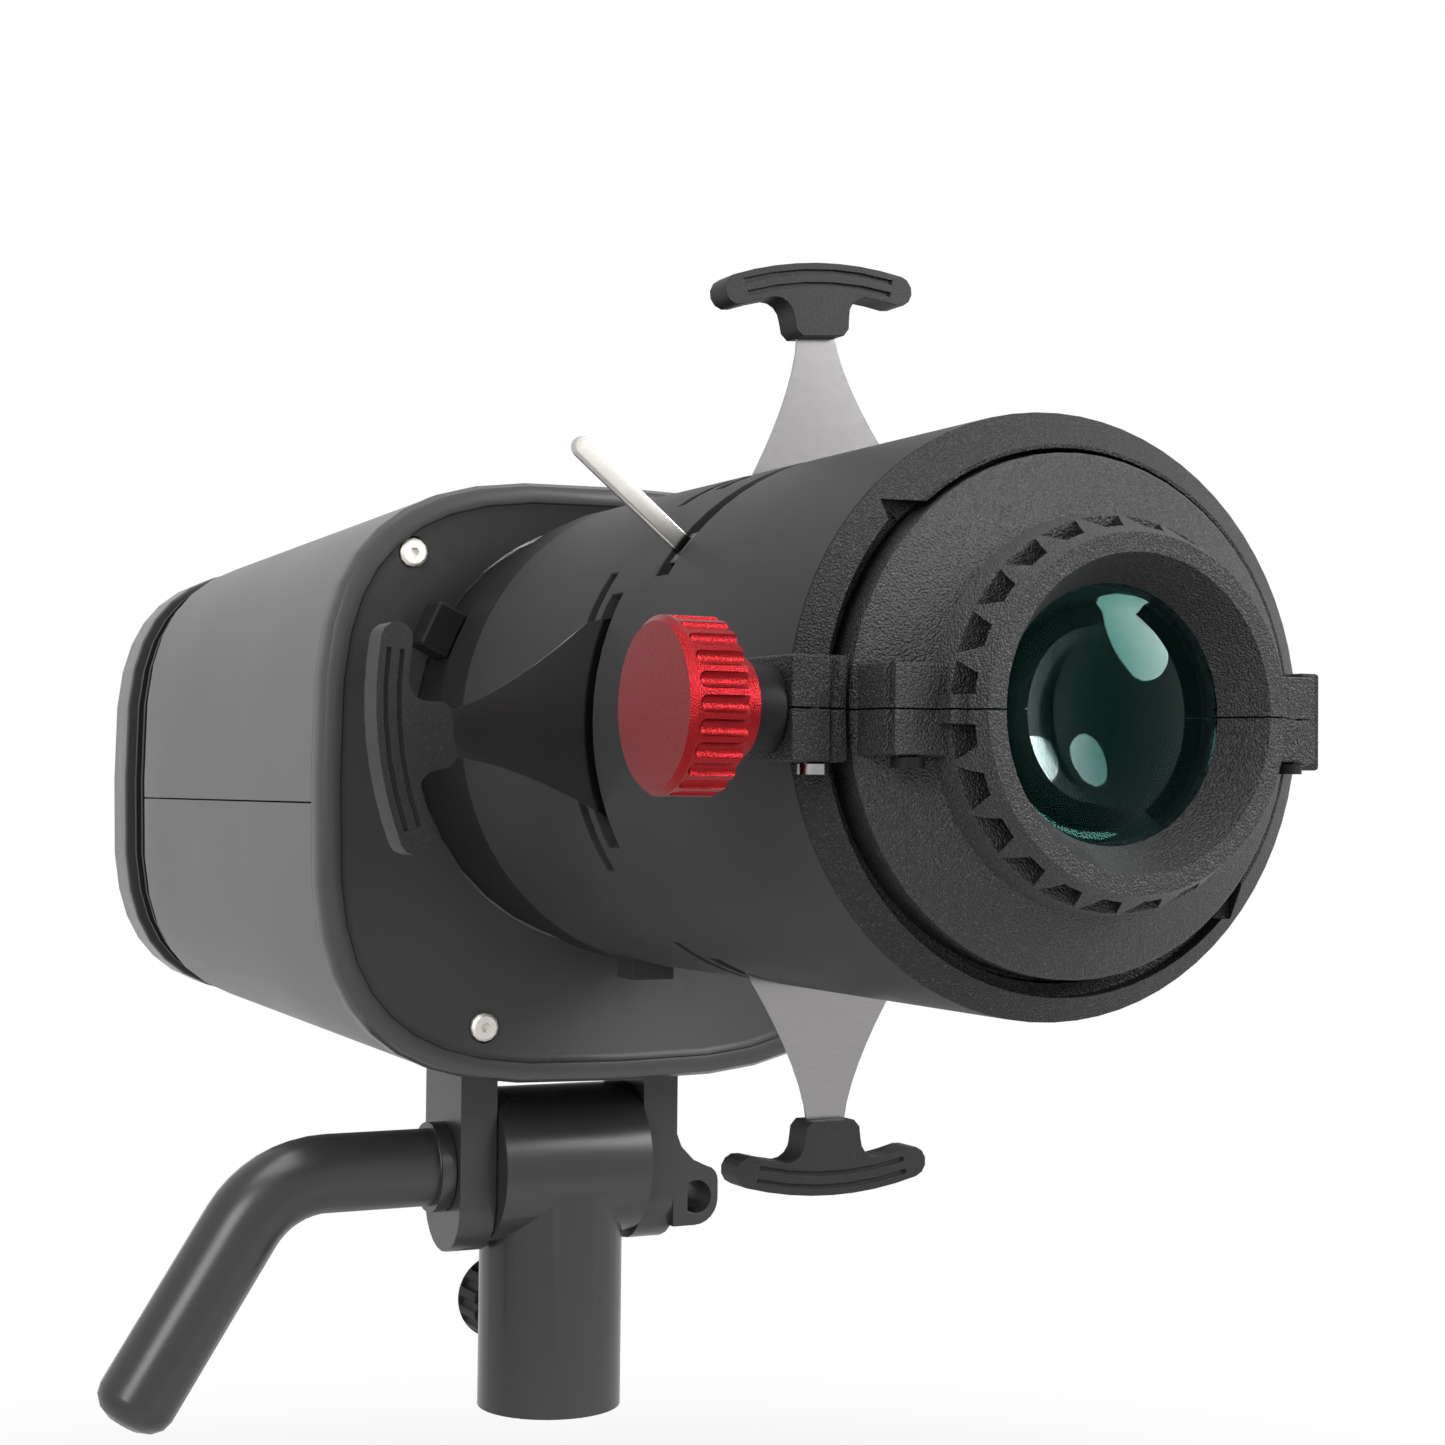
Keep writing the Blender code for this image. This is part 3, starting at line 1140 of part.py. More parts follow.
def add_boss(cheek):
    # A hooked lobe beside the right cheek, with a D-shaped hole for an umbrella shaft.
    half = CHEEK_DEEP / 2
    start = CHEEK_IN + CHEEK_T - 1
    middle = -AXLE_DROP - BOSS_DROP
    low, high = middle - BOSS_HALF, middle + BOSS_HALF
    span = BOSS_OUT - start
    hook = [(start + span * 0.18, high - BOSS_HALF * 0.45), (start + span * 0.45, high - BOSS_HALF * 0.72)]
    upper = arc(BOSS_ROUND * 0.6, 80, 0, 4, (BOSS_OUT - BOSS_ROUND * 0.6, middle - BOSS_HALF * 0.15))
    lower = arc(BOSS_ROUND, 0, -90, 6, (BOSS_OUT - BOSS_ROUND, low + BOSS_ROUND))
    outline = [(start, high)] + hook + upper + lower + [(start, low)]
    join(cheek, prism(outline, AXLE_Y - half, AXLE_Y + half, "Y"))
    dee = arc(BOSS_HOLE_R, -125, 125, 16, (BOSS_OUT - BOSS_HOLE_R - 2, low + BOSS_HOLE_R + 3))
    cut(cheek, prism(dee, AXLE_Y - half - 1, AXLE_Y + half + 1, "Y"))


def sweep_handle(face, axis):
    # A bent tube: a run along -X, a bend downward and a straight tail, with a domed end.
    path = [((face, 0.0), 0.0), ((face - HANDLE_RUN, 0.0), 0.0)]
    for i in range(1, 9):
        t = math.radians(HANDLE_BEND_TURN) * i / 8
        x = face - HANDLE_RUN - HANDLE_BEND * math.sin(t)
        path.append(((x, -HANDLE_BEND * (1 - math.cos(t))), t))
    (x, z), t = path[-1]
    path.append(((x - HANDLE_TAIL * math.cos(t), z - HANDLE_TAIL * math.sin(t)), t))
    loops = []
    for (x, z), t in path:
        loops.append(handle_loop(x, z, t, HANDLE_R, axis))
    (x, z), t = path[-1]
    for step, share in ((0.43, 0.93), (0.79, 0.72), (1.0, 0.4)):
        ahead = HANDLE_DOME * step
        place = (x - ahead * math.cos(t), z - ahead * math.sin(t))
        loops.append(handle_loop(*place, t, HANDLE_R * share, axis))
    return to_object(loft(loops), "handle")


def handle_loop(x, z, lean, radius, axis, count=16):
    points = []
    for i in range(count):
        a = math.tau * i / count
        across = radius * math.sin(a)
        up = radius * math.cos(a)
        points.append((x - up * math.sin(lean), axis[0] + across, axis[1] + z + up * math.cos(lean)))
    return points


clear_scene()
build_barrel()
build_rim()
build_adapter()
build_gate()
build_iris()
build_lens_tube()
build_lock()
build_condenser()
build_head()
build_bracket()
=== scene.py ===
import json
import math

import bpy
from mathutils import Matrix, Vector


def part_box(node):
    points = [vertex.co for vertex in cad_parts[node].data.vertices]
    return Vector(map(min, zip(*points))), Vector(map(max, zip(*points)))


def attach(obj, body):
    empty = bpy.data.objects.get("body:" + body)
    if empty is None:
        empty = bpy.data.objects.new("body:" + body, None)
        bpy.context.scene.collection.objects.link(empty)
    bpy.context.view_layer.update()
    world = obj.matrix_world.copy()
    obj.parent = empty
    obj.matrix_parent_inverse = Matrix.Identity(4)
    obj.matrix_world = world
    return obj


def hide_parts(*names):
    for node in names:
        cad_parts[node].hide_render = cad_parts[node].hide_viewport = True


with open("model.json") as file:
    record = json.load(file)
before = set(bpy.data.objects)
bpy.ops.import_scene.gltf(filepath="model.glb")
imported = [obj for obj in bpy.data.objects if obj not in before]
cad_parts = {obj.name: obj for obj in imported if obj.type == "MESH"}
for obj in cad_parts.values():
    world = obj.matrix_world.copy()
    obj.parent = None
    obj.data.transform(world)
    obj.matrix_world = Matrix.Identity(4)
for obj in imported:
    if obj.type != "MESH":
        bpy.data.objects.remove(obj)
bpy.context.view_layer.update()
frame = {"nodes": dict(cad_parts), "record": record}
scene = bpy.context.scene
beamZ = 0.168  # beam axis above the socket mouth
rimY = -0.2215  # front corner of the barrel
print("frame loaded,", len(frame["nodes"]), "nodes")


# node groups that several finishes share: noise detail, where the spots of painted glints begin and end, patch
# range, bump heights
textureMake = {
    "fineDetail": 2.0, "wideDetail": 3.0, "glintFrom": 0.55, "glintTo": 0.72, "patchFrom": 0.3, "patchTo": 0.7,
    "grainHeight": 0.5, "lineDetail": 3.0, "lineHeight": 0.0001,
}


def newGroup(name, inputs, outputs):
    group = bpy.data.node_groups.new(name, "ShaderNodeTree")
    for label, kind, value in inputs:
        socket = group.interface.new_socket(label, in_out="INPUT", socket_type=kind)
        socket.default_value = value
    for label, kind in outputs:
        group.interface.new_socket(label, in_out="OUTPUT", socket_type=kind)
    start = group.nodes.new("NodeGroupInput")
    end = group.nodes.new("NodeGroupOutput")
    return group, start, end


def addNode(tree, kind, links=None, **values):
    node = tree.nodes.new(kind)
    for key, value in values.items():
        setattr(node, key, value)
    for key, value in (links or {}).items():
        if isinstance(value, bpy.types.NodeSocket):
            tree.links.new(value, node.inputs[key])
        else:
            node.inputs[key].default_value = value
    return node


def makeGrainGroup():
    # fine pits and pimples of a moulded or sprayed skin, in metres, and spots where its sparkle is painted in
    # as glints
    group, start, end = newGroup(
        "grainSkin",
        [("Size", "NodeSocketFloat", 0.0005), ("Depth", "NodeSocketFloat", 1.0),
         ("Patch", "NodeSocketFloat", 0.02)],
        [("Height", "NodeSocketFloat"), ("Patchy", "NodeSocketFloat"), ("Glint", "NodeSocketFloat")],
    )
    coord = addNode(group, "ShaderNodeTexCoord")
    scaleFine = addNode(group, "ShaderNodeMath", {0: 1.0, 1: start.outputs["Size"]}, operation="DIVIDE")
    scaleWide = addNode(group, "ShaderNodeMath", {0: 1.0, 1: start.outputs["Patch"]}, operation="DIVIDE")
    fine = addNode(group, "ShaderNodeTexNoise",
                   {"Vector": coord.outputs["Object"], "Scale": scaleFine.outputs[0],
                    "Detail": textureMake["fineDetail"]})
    cells = addNode(group, "ShaderNodeTexVoronoi",
                    {"Vector": coord.outputs["Object"], "Scale": scaleFine.outputs[0]})
    wide = addNode(group, "ShaderNodeTexNoise",
                   {"Vector": coord.outputs["Object"], "Scale": scaleWide.outputs[0],
                    "Detail": textureMake["wideDetail"]})
    mixed = addNode(group, "ShaderNodeMath", {0: fine.outputs["Fac"], 1: cells.outputs["Distance"]},
                    operation="SUBTRACT")
    deep = addNode(group, "ShaderNodeMath", {0: mixed.outputs[0], 1: start.outputs["Depth"]},
                   operation="MULTIPLY")
    glintMask = addNode(group, "ShaderNodeMapRange",
                    {"Value": fine.outputs["Fac"], "From Min": textureMake["glintFrom"],
                     "From Max": textureMake["glintTo"]})
    group.links.new(deep.outputs[0], end.inputs["Height"])
    group.links.new(wide.outputs["Fac"], end.inputs["Patchy"])
    group.links.new(glintMask.outputs["Result"], end.inputs["Glint"])
    return group


def makeBrushGroup():
    # drawn lines of turned, rolled or brushed metal along one axis
    group, start, end = newGroup(
        "brushLines",
        [("Stretch", "NodeSocketVector", (40.0, 2000.0, 2000.0)), ("Contrast", "NodeSocketFloat", 0.2)],
        [("Line", "NodeSocketFloat"), ("Rough", "NodeSocketFloat")],
    )
    coord = addNode(group, "ShaderNodeTexCoord")
    pulled = addNode(group, "ShaderNodeVectorMath",
                     {0: coord.outputs["Object"], 1: start.outputs["Stretch"]}, operation="MULTIPLY")
    noise = addNode(group, "ShaderNodeTexNoise",
                    {"Vector": pulled.outputs[0], "Scale": 1.0, "Detail": textureMake["lineDetail"]})
    low = addNode(group, "ShaderNodeMath", {0: noise.outputs["Fac"], 1: 0.5}, operation="SUBTRACT")
    wide = addNode(group, "ShaderNodeMath", {0: low.outputs[0], 1: start.outputs["Contrast"]},
                   operation="MULTIPLY")
    group.links.new(noise.outputs["Fac"], end.inputs["Line"])
    group.links.new(wide.outputs[0], end.inputs["Rough"])
    return group


grainSkin = makeGrainGroup()
brushLines = makeBrushGroup()


def newMaterial(name, **fixed):
    material = bpy.data.materials.new(name)
    material.use_nodes = True
    shader = material.node_tree.nodes["Principled BSDF"]
    for label, value in fixed.items():
        shader.inputs[label.replace("_", " ")].default_value = value
    return material, material.node_tree, shader


def grainFinish(name, dark, light, rough, roughSpread, size, depth, bump, patch, speckLight=0.0,
                speckTone=(0.35, 0.35, 0.36), **fixed):
    material, tree, shader = newMaterial(name, **fixed)
    grain = addNode(tree, "ShaderNodeGroup", node_tree=grainSkin)
    grain.inputs["Size"].default_value = size
    grain.inputs["Depth"].default_value = depth
    grain.inputs["Patch"].default_value = patch
    tone = addNode(tree, "ShaderNodeMix", {"Factor": grain.outputs["Patchy"]}, data_type="RGBA")
    tone.inputs[6].default_value = (*dark, 1)
    tone.inputs[7].default_value = (*light, 1)
    colour = tone.outputs[2]
    # painted highlight: the grain's sparkle is painted into the base colour as lighter glints
    if speckLight:
        lift = addNode(tree, "ShaderNodeMath", {0: grain.outputs["Glint"], 1: speckLight}, operation="MULTIPLY")
        paintedGlints = addNode(tree, "ShaderNodeMix", {"Factor": lift.outputs[0], 6: colour}, data_type="RGBA")
        paintedGlints.inputs[7].default_value = (*speckTone, 1)
        colour = paintedGlints.outputs[2]
    tree.links.new(colour, shader.inputs["Base Color"])
    roughRange = addNode(tree, "ShaderNodeMapRange",
                         {"Value": grain.outputs["Patchy"], "From Min": textureMake["patchFrom"],
                          "From Max": textureMake["patchTo"],
                          "To Min": rough - roughSpread, "To Max": rough + roughSpread})
    tree.links.new(roughRange.outputs["Result"], shader.inputs["Roughness"])
    bumpNode = addNode(tree, "ShaderNodeBump", {"Height": grain.outputs["Height"], "Strength": bump,
                                                "Distance": size * textureMake["grainHeight"]})
    tree.links.new(bumpNode.outputs["Normal"], shader.inputs["Normal"])
    return material


def brushFinish(name, colour, deepColour, rough, stretch, contrast, bump, **fixed):
    material, tree, shader = newMaterial(name, Metallic=1.0, **fixed)
    lines = addNode(tree, "ShaderNodeGroup", node_tree=brushLines)
    lines.inputs["Stretch"].default_value = stretch
    lines.inputs["Contrast"].default_value = contrast
    tone = addNode(tree, "ShaderNodeMix", {"Factor": lines.outputs["Line"]}, data_type="RGBA")
    tone.inputs[6].default_value = (*deepColour, 1)
    tone.inputs[7].default_value = (*colour, 1)
    tree.links.new(tone.outputs[2], shader.inputs["Base Color"])
    total = addNode(tree, "ShaderNodeMath", {0: lines.outputs["Rough"], 1: rough}, operation="ADD")
    tree.links.new(total.outputs[0], shader.inputs["Roughness"])
    bumpNode = addNode(tree, "ShaderNodeBump", {"Height": lines.outputs["Line"], "Strength": bump,
                                                "Distance": textureMake["lineHeight"]})
    tree.links.new(bumpNode.outputs["Normal"], shader.inputs["Normal"])
    return material


# tones, roughness and its spread, grain size in metres, its depth and bump, patch size, painted glints of the
# sparkle and their tone, and with capital letters the shader's own sockets
grainLooks = {
    "barrel_black": {
        "name": "barrelPaint", "dark": (0.023, 0.023, 0.024), "light": (0.031, 0.031, 0.032), "rough": 0.5,
        "roughSpread": 0.05, "size": 0.0003, "depth": 0.5, "bump": 0.2, "patch": 0.04, "speckLight": 0.01,
        "Specular_IOR_Level": 0.07,
    },
    "rim_black": {
        "name": "mouldedGrain", "dark": (0.012, 0.012, 0.0125), "light": (0.018, 0.018, 0.0185), "rough": 0.42,
        "roughSpread": 0.05, "size": 0.00042, "depth": 1.3, "bump": 1.0, "patch": 0.03, "speckLight": 0.09,
        "Specular_IOR_Level": 0.3,
    },
    "shell_grey": {
        "name": "shellSatin", "dark": (0.088, 0.088, 0.087), "light": (0.108, 0.108, 0.106), "rough": 0.42,
        "roughSpread": 0.04, "size": 0.0004, "depth": 0.4, "bump": 0.05, "patch": 0.08,
        "Specular_IOR_Level": 0.2,
    },
    "bezel_grey": {
        "name": "bezelSatin", "dark": (0.03, 0.03, 0.03), "light": (0.039, 0.039, 0.039), "rough": 0.3,
        "roughSpread": 0.04, "size": 0.0004, "depth": 0.4, "bump": 0.05, "patch": 0.06,
        "Specular_IOR_Level": 0.35,
    },
    "panel_grey": {
        "name": "panelSatin", "dark": (0.03, 0.03, 0.03), "light": (0.04, 0.04, 0.04), "rough": 0.3,
        "roughSpread": 0.04, "size": 0.0004, "depth": 0.4, "bump": 0.05, "patch": 0.06,
        "Specular_IOR_Level": 0.3,
    },
    "bracket_grey": {
        "name": "bracketPaint", "dark": (0.02, 0.02, 0.0203), "light": (0.027, 0.027, 0.0273), "rough": 0.28,
        "roughSpread": 0.05, "size": 0.0004, "depth": 0.4, "bump": 0.06, "patch": 0.05,
        "Specular_IOR_Level": 0.35,
    },
    "dark_plastic": {
        "name": "darkPlastic", "dark": (0.008, 0.008, 0.009), "light": (0.012, 0.012, 0.013), "rough": 0.45,
        "roughSpread": 0.06, "size": 0.0004, "depth": 0.6, "bump": 0.12, "patch": 0.03,
        "Specular_IOR_Level": 0.08,
    },
    "rubber": {
        "name": "gripRubber", "dark": (0.015, 0.015, 0.016), "light": (0.022, 0.022, 0.024), "rough": 0.5,
        "roughSpread": 0.06, "size": 0.0004, "depth": 0.8, "bump": 0.16, "patch": 0.02, "speckLight": 0.04,
        "Specular_IOR_Level": 0.15,
    },
    "led_yellow": {
        "name": "ledPhosphor", "dark": (0.8, 0.6, 0.15), "light": (0.9, 0.72, 0.25), "rough": 0.45,
        "roughSpread": 0.05, "size": 0.0008, "depth": 0.6, "bump": 0.1, "patch": 0.03,
    },
    "red_anodised": {
        "name": "redAnodised", "dark": (0.18, 0.008, 0.011), "light": (0.24, 0.011, 0.014), "rough": 0.34,
        "roughSpread": 0.04, "size": 0.00025, "depth": 0.8, "bump": 0.5, "patch": 0.02, "speckLight": 0.05,
        "speckTone": (0.75, 0.2, 0.2), "Metallic": 1.0,
    },
}
# the clamp on the barrel is painted darker than the lens tube that it holds: painted shade on its
# outward-sloping cone and lugs
clampShadedGrain = {
    "name": "clampShadedGrain", "dark": (0.008, 0.008, 0.0085), "light": (0.013, 0.013, 0.0135), "rough": 0.44,
    "roughSpread": 0.05, "size": 0.00042, "depth": 1.3, "bump": 0.9, "patch": 0.03, "speckLight": 0.08,
    "Specular_IOR_Level": 0.18,
}
# the ring of the bayonet is black on its outside
mountBlack = {
    "name": "blackAnodised", "dark": (0.009, 0.009, 0.01), "light": (0.014, 0.014, 0.015), "rough": 0.36,
    "roughSpread": 0.04, "size": 0.0004, "depth": 0.5, "bump": 0.06, "patch": 0.03, "Specular_IOR_Level": 0.1,
}
# screw heads are plated and dull, unlike the other steel
nickelHead = {
    "name": "nickelHead", "dark": (0.6, 0.575, 0.53), "light": (0.7, 0.675, 0.62), "rough": 0.48,
    "roughSpread": 0.05, "size": 0.0004, "depth": 0.5, "bump": 0.08, "patch": 0.01, "Metallic": 0.7,
}
# light and deep tone, roughness, stretch of the drawn lines, contrast, bump
brushLooks = {
    "steel": {
        "name": "satinSteel", "colour": (0.5, 0.485, 0.455), "deepColour": (0.46, 0.445, 0.42), "rough": 0.3,
        "stretch": (300.0, 2500.0, 300.0), "contrast": 0.02, "bump": 0.0,
    },
    "blade_steel": {
        "name": "rolledSheet", "colour": (0.31, 0.3, 0.303), "deepColour": (0.27, 0.262, 0.264), "rough": 0.17,
        "stretch": (500.0, 500.0, 2500.0), "contrast": 0.06, "bump": 0.004,
    },
    "aluminium": {
        "name": "turnedAluminium", "colour": (0.6, 0.6, 0.61), "deepColour": (0.46, 0.46, 0.47), "rough": 0.46,
        "stretch": (60.0, 2500.0, 60.0), "contrast": 0.16, "bump": 0.03,
    },
}
finishes = {key: grainFinish(**look) for key, look in grainLooks.items()}
finishes.update({key: brushFinish(**look) for key, look in brushLooks.items()})
headFinish = grainFinish(**nickelHead)
corners = ("upper_left", "upper_right", "lower_left", "lower_right")
ownFinish = {"panel_screw_" + corner: headFinish for corner in corners}
# painted shade: the clamp and its two lugs take the darker tone
clampShadedFinish = grainFinish(**clampShadedGrain)
ownFinish.update({name: clampShadedFinish for name in ("front_rim", "rim_lug_upper", "rim_lug_lower")})
ownFinish["lug_screw"] = finishes["blade_steel"]
ownFinish["mount_ring"] = grainFinish(**mountBlack)


def darkenFoot(material, foot, fade, tone):
    # the lever's colour turns dark up to this radius about the beam, where its foot sits down in the barrel's
    # slot
    tree = material.node_tree
    shader = tree.nodes["Principled BSDF"]
    bare = shader.inputs["Base Color"].links[0].from_socket
    coord = addNode(tree, "ShaderNodeTexCoord")
    flat = addNode(tree, "ShaderNodeMapping", {"Vector": coord.outputs["Object"]})
    flat.inputs["Location"].default_value = (0, 0, -beamZ)
    flat.inputs["Scale"].default_value = (1, 0, 1)
    reach = addNode(tree, "ShaderNodeVectorMath", {0: flat.outputs[0]}, operation="LENGTH")
    share = addNode(tree, "ShaderNodeMapRange",
                    {"Value": reach.outputs["Value"], "From Min": foot, "From Max": foot + fade})
    mixed = addNode(tree, "ShaderNodeMix", {"Factor": share.outputs["Result"], 7: bare}, data_type="RGBA")
    mixed.inputs[6].default_value = (*tone, 1)
    tree.links.new(mixed.outputs[2], shader.inputs["Base Color"])
    return material


leverLook = {"foot": 0.0538, "fade": 0.0006, "tone": (0.03, 0.03, 0.031)}
leverSteel = brushFinish(**{**brushLooks["steel"], "name": "leverSteel"})
ownFinish["iris_lever"] = darkenFoot(leverSteel, **leverLook)


glassMake = {"bend": 1.52, "gloss": 0.16, "size": 0.004, "patch": 0.02, "shade": 0.94, "haze": 0.02}


def coatedGlass(name, tint, reflect):
    # clear glass whose coating colours the reflections
    material, tree, shader = newMaterial(name, Metallic=0.0, Transmission_Weight=1.0, IOR=glassMake["bend"],
                                         Specular_Tint=(*reflect, 1), Specular_IOR_Level=glassMake["gloss"])
    grain = addNode(tree, "ShaderNodeGroup", node_tree=grainSkin)
    grain.inputs["Size"].default_value = glassMake["size"]
    grain.inputs["Patch"].default_value = glassMake["patch"]
    tone = addNode(tree, "ShaderNodeMix", {"Factor": grain.outputs["Patchy"]}, data_type="RGBA")
    tone.inputs[6].default_value = (*(share * glassMake["shade"] for share in tint), 1)
    tone.inputs[7].default_value = (*tint, 1)
    tree.links.new(tone.outputs[2], shader.inputs["Base Color"])
    haze = addNode(tree, "ShaderNodeMapRange",
                   {"Value": grain.outputs["Patchy"], "To Min": 0.0, "To Max": glassMake["haze"]})
    tree.links.new(haze.outputs["Result"], shader.inputs["Roughness"])
    return material


# tint of the glass and colour of its coating's reflection
glassLooks = {
    "front_lens": ((0.46, 0.56, 0.57), (0.0, 0.16, 0.125)),
    "rear_lens": ((0.3, 0.2, 0.42), (0.3, 0.04, 0.6)),
    "condenser_lens": ((0.8, 0.9, 0.9), (0.1, 0.2, 0.3)),
}
ownFinish.update({name: coatedGlass(name + "_glass", *look) for name, look in glassLooks.items()})


slotOf = {entry["node"]: entry["material_slot"] for entry in frame["record"]["subparts"]}
bodyOf = {node: body for body, members in frame["record"]["behaviour"]["bodies"].items() for node in members}


def finishFor(name):
    return ownFinish.get(name) or finishes[slotOf[name]]


for name, node in frame["nodes"].items():
    node.data.materials.clear()
    node.data.materials.append(finishFor(name))
print("finishes made:", len(finishes), "by slot, pieces with one of their own:", len(ownFinish))


# rounded copies of the pieces that show
dressing = {
    "smooth": 32, "corner": 38, "flat": 0.3,  # degrees
    "merge": 0.000002, "steps": 2,
    "round": {  # millimetres
        "barrel": 0.25, "front_rim": 0.25, "rim_lug_upper": 0.4, "rim_lug_lower": 0.4,
        "lens_tube_upper": 0.25, "lens_tube_lower": 0.25, "front_bezel": 0.5,
        "shell_upper": 0.3, "shell_lower": 0.3, "rear_cap": 0.8, "yoke_cheek_left": 0.8,
        "yoke_cheek_right": 0.8, "stand_socket": 0.6, "release_catch": 0.5, "front_panel": 0.12,
        "iris_lever": 0.95, "bayonet_adapter": 0.3,
        "mount_ring": 0.3, "knob_bush": 0.3, "power_switch": 0.3, "power_inlet": 0.3,
        "shutter_grip_top": 0.5, "shutter_grip_bottom": 0.5,
        "shutter_grip_left": 0.5, "shutter_grip_right": 0.5,
    },
    "plain": ["front_lens", "rear_lens", "condenser_lens", "condenser_ring", "vent_grille", "tilt_handle",
              "tilt_stud", "lug_screw", "ear_screw_left", "ear_screw_right", "panel_screw_upper_left",
              "panel_screw_upper_right", "panel_screw_lower_left", "panel_screw_lower_right",
              "shutter_blade_top", "shutter_blade_bottom", "shutter_blade_left", "shutter_blade_right",
              "fan_rotor", "led_board", "iris_drive_ring"],
    "grow": {"front_panel": 0.00028},  # closes the seam to the bezel
}


def finishShading(piece):
    bpy.ops.object.shade_smooth_by_angle(angle=math.radians(dressing["smooth"]))
    # broad faces keep their own normals beside the narrow rounded edges
    steady = piece.modifiers.new("steady", "WEIGHTED_NORMAL")
    steady.keep_sharp = True
    bpy.ops.object.modifier_apply(modifier=steady.name)


def roundEdges(piece, width, corner):
    edge = piece.modifiers.new("edge", "BEVEL")
    edge.width = width
    edge.segments = dressing["steps"]
    edge.limit_method = "ANGLE"
    edge.angle_limit = math.radians(corner)
    bpy.ops.object.modifier_apply(modifier=edge.name)


def standFor(piece, node):
    piece.data.materials.clear()
    piece.data.materials.append(finishFor(node))
    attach(piece, bodyOf[node])
    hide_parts(node)


def applyPlace():
    bpy.ops.object.transform_apply(location=True, rotation=True, scale=True)


def pickFaces(piece, test):
    bpy.ops.object.mode_set(mode="EDIT")
    bpy.ops.mesh.select_mode(type="FACE")
    bpy.ops.mesh.select_all(action="DESELECT")
    bpy.ops.object.mode_set(mode="OBJECT")
    for face in piece.data.polygons:
        face.select = test(face.center, face.normal)
    bpy.ops.object.mode_set(mode="EDIT")


def pickEdges(piece, test):
    bpy.ops.object.mode_set(mode="EDIT")
    bpy.ops.mesh.select_mode(type="EDGE")
    bpy.ops.mesh.select_all(action="DESELECT")
    bpy.ops.object.mode_set(mode="OBJECT")
    points = piece.data.vertices
    for edge in piece.data.edges:
        edge.select = all(test(points[index].co) for index in edge.vertices)
    bpy.ops.object.mode_set(mode="EDIT")


def cutAway(piece, cutter):
    cutting = piece.modifiers.new("cut", "BOOLEAN")
    cutting.operation = "DIFFERENCE"
    cutting.solver = "EXACT"
    cutting.object = cutter
    bpy.ops.object.select_all(action="DESELECT")
    piece.select_set(True)
    bpy.context.view_layer.objects.active = piece
    bpy.ops.object.modifier_apply(modifier=cutting.name)
    bpy.data.objects.remove(cutter)


# deeper pockets of the truss ring, cut into the copies of the lens tube: radii, depths from the barrel's
# corner, half width at the back and its share at the front, half width of the bridges to the ears
trussLook = {
    "cells": 24, "floor": 0.0276, "top": 0.0364, "front": -0.0224, "back": -0.01842, "reach": 0.00316,
    "frontShare": 0.52, "bridge": 0.0024, "across": 0.05, "facing": 0.9,
}


def scaleFaces(piece, test, value, centre):
    pickFaces(piece, test)
    bpy.ops.transform.resize(value=value, center_override=centre)
    bpy.ops.object.mode_set(mode="OBJECT")


def copyRound(first, count, axis, start=0.0):
    # copies with meshes of their own, turned about an axis through the origin and joined
    ring = [first]
    for index in range(1, count):
        copy = first.copy()
        copy.data = first.data.copy()
        scene.collection.objects.link(copy)
        ring.append(copy)
    bpy.ops.object.select_all(action="DESELECT")
    for index, piece in enumerate(ring):
        turn = math.tau * (index + start) / count
        piece.rotation_euler = tuple(turn * share for share in axis)
        piece.select_set(True)
    bpy.context.view_layer.objects.active = first
    bpy.ops.object.join()
    applyPlace()
    return first


def addBlock(low, high):
    bpy.ops.object.select_all(action="DESELECT")
    bpy.ops.mesh.primitive_cube_add(size=1, location=tuple((a + b) / 2 for a, b in zip(low, high)))
    block = bpy.context.active_object
    block.scale = tuple(b - a for a, b in zip(low, high))
    applyPlace()
    return block


def pocketCutters():
    floor, top, reach, facing = (trussLook[key] for key in ("floor", "top", "reach", "facing"))
    middle = (floor, trussLook["front"], 0)
    pocket = addBlock((floor, trussLook["front"], -reach), (top, trussLook["back"], reach))
    scaleFaces(pocket, lambda centre, normal: normal.y < -facing, (1, 1, trussLook["frontShare"]), middle)
    scaleFaces(pocket, lambda centre, normal: normal.x > facing, (1, 1, top / floor), middle)
    pockets = copyRound(pocket, trussLook["cells"], (0, 1, 0), start=0.5)
    half, across = trussLook["bridge"], trussLook["across"]  # the bridges stay whole
    cutAway(pockets, addBlock((-across, -across, -half), (across, across, half)))
    pockets.location = (0, rimY, beamZ)
    applyPlace()
    return pockets


def dressNode(name, width=None):
    bpy.ops.object.select_all(action="DESELECT")
    source = frame["nodes"][name]
    piece = bpy.data.objects.new(name + "_skin", source.data.copy())
    scene.collection.objects.link(piece)
    bpy.context.view_layer.objects.active = piece
    piece.select_set(True)
    bpy.ops.object.mode_set(mode="EDIT")
    bpy.ops.mesh.select_all(action="SELECT")
    bpy.ops.mesh.remove_doubles(threshold=dressing["merge"])
    bpy.ops.mesh.dissolve_limited(angle_limit=math.radians(dressing["flat"]))
    if name in dressing["grow"]:
        low, high = (Vector(corner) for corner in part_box(name))
        wide, tall = (1 + 2 * dressing["grow"][name] / (high - low)[axis] for axis in (0, 2))
        bpy.ops.transform.resize(value=(wide, 1, tall), center_override=(low + high) / 2)
    bpy.ops.object.mode_set(mode="OBJECT")
    if name.startswith("lens_tube"):
        cutAway(piece, pocketCutters())
    if width:
        roundEdges(piece, width / 1000, dressing["corner"])
    finishShading(piece)
    standFor(piece, name)


for name, width in dressing["round"].items():
    dressNode(name, width)
for name in dressing["plain"]:
    dressNode(name)
print("pieces dressed:", len(dressing["round"]) + len(dressing["plain"]))


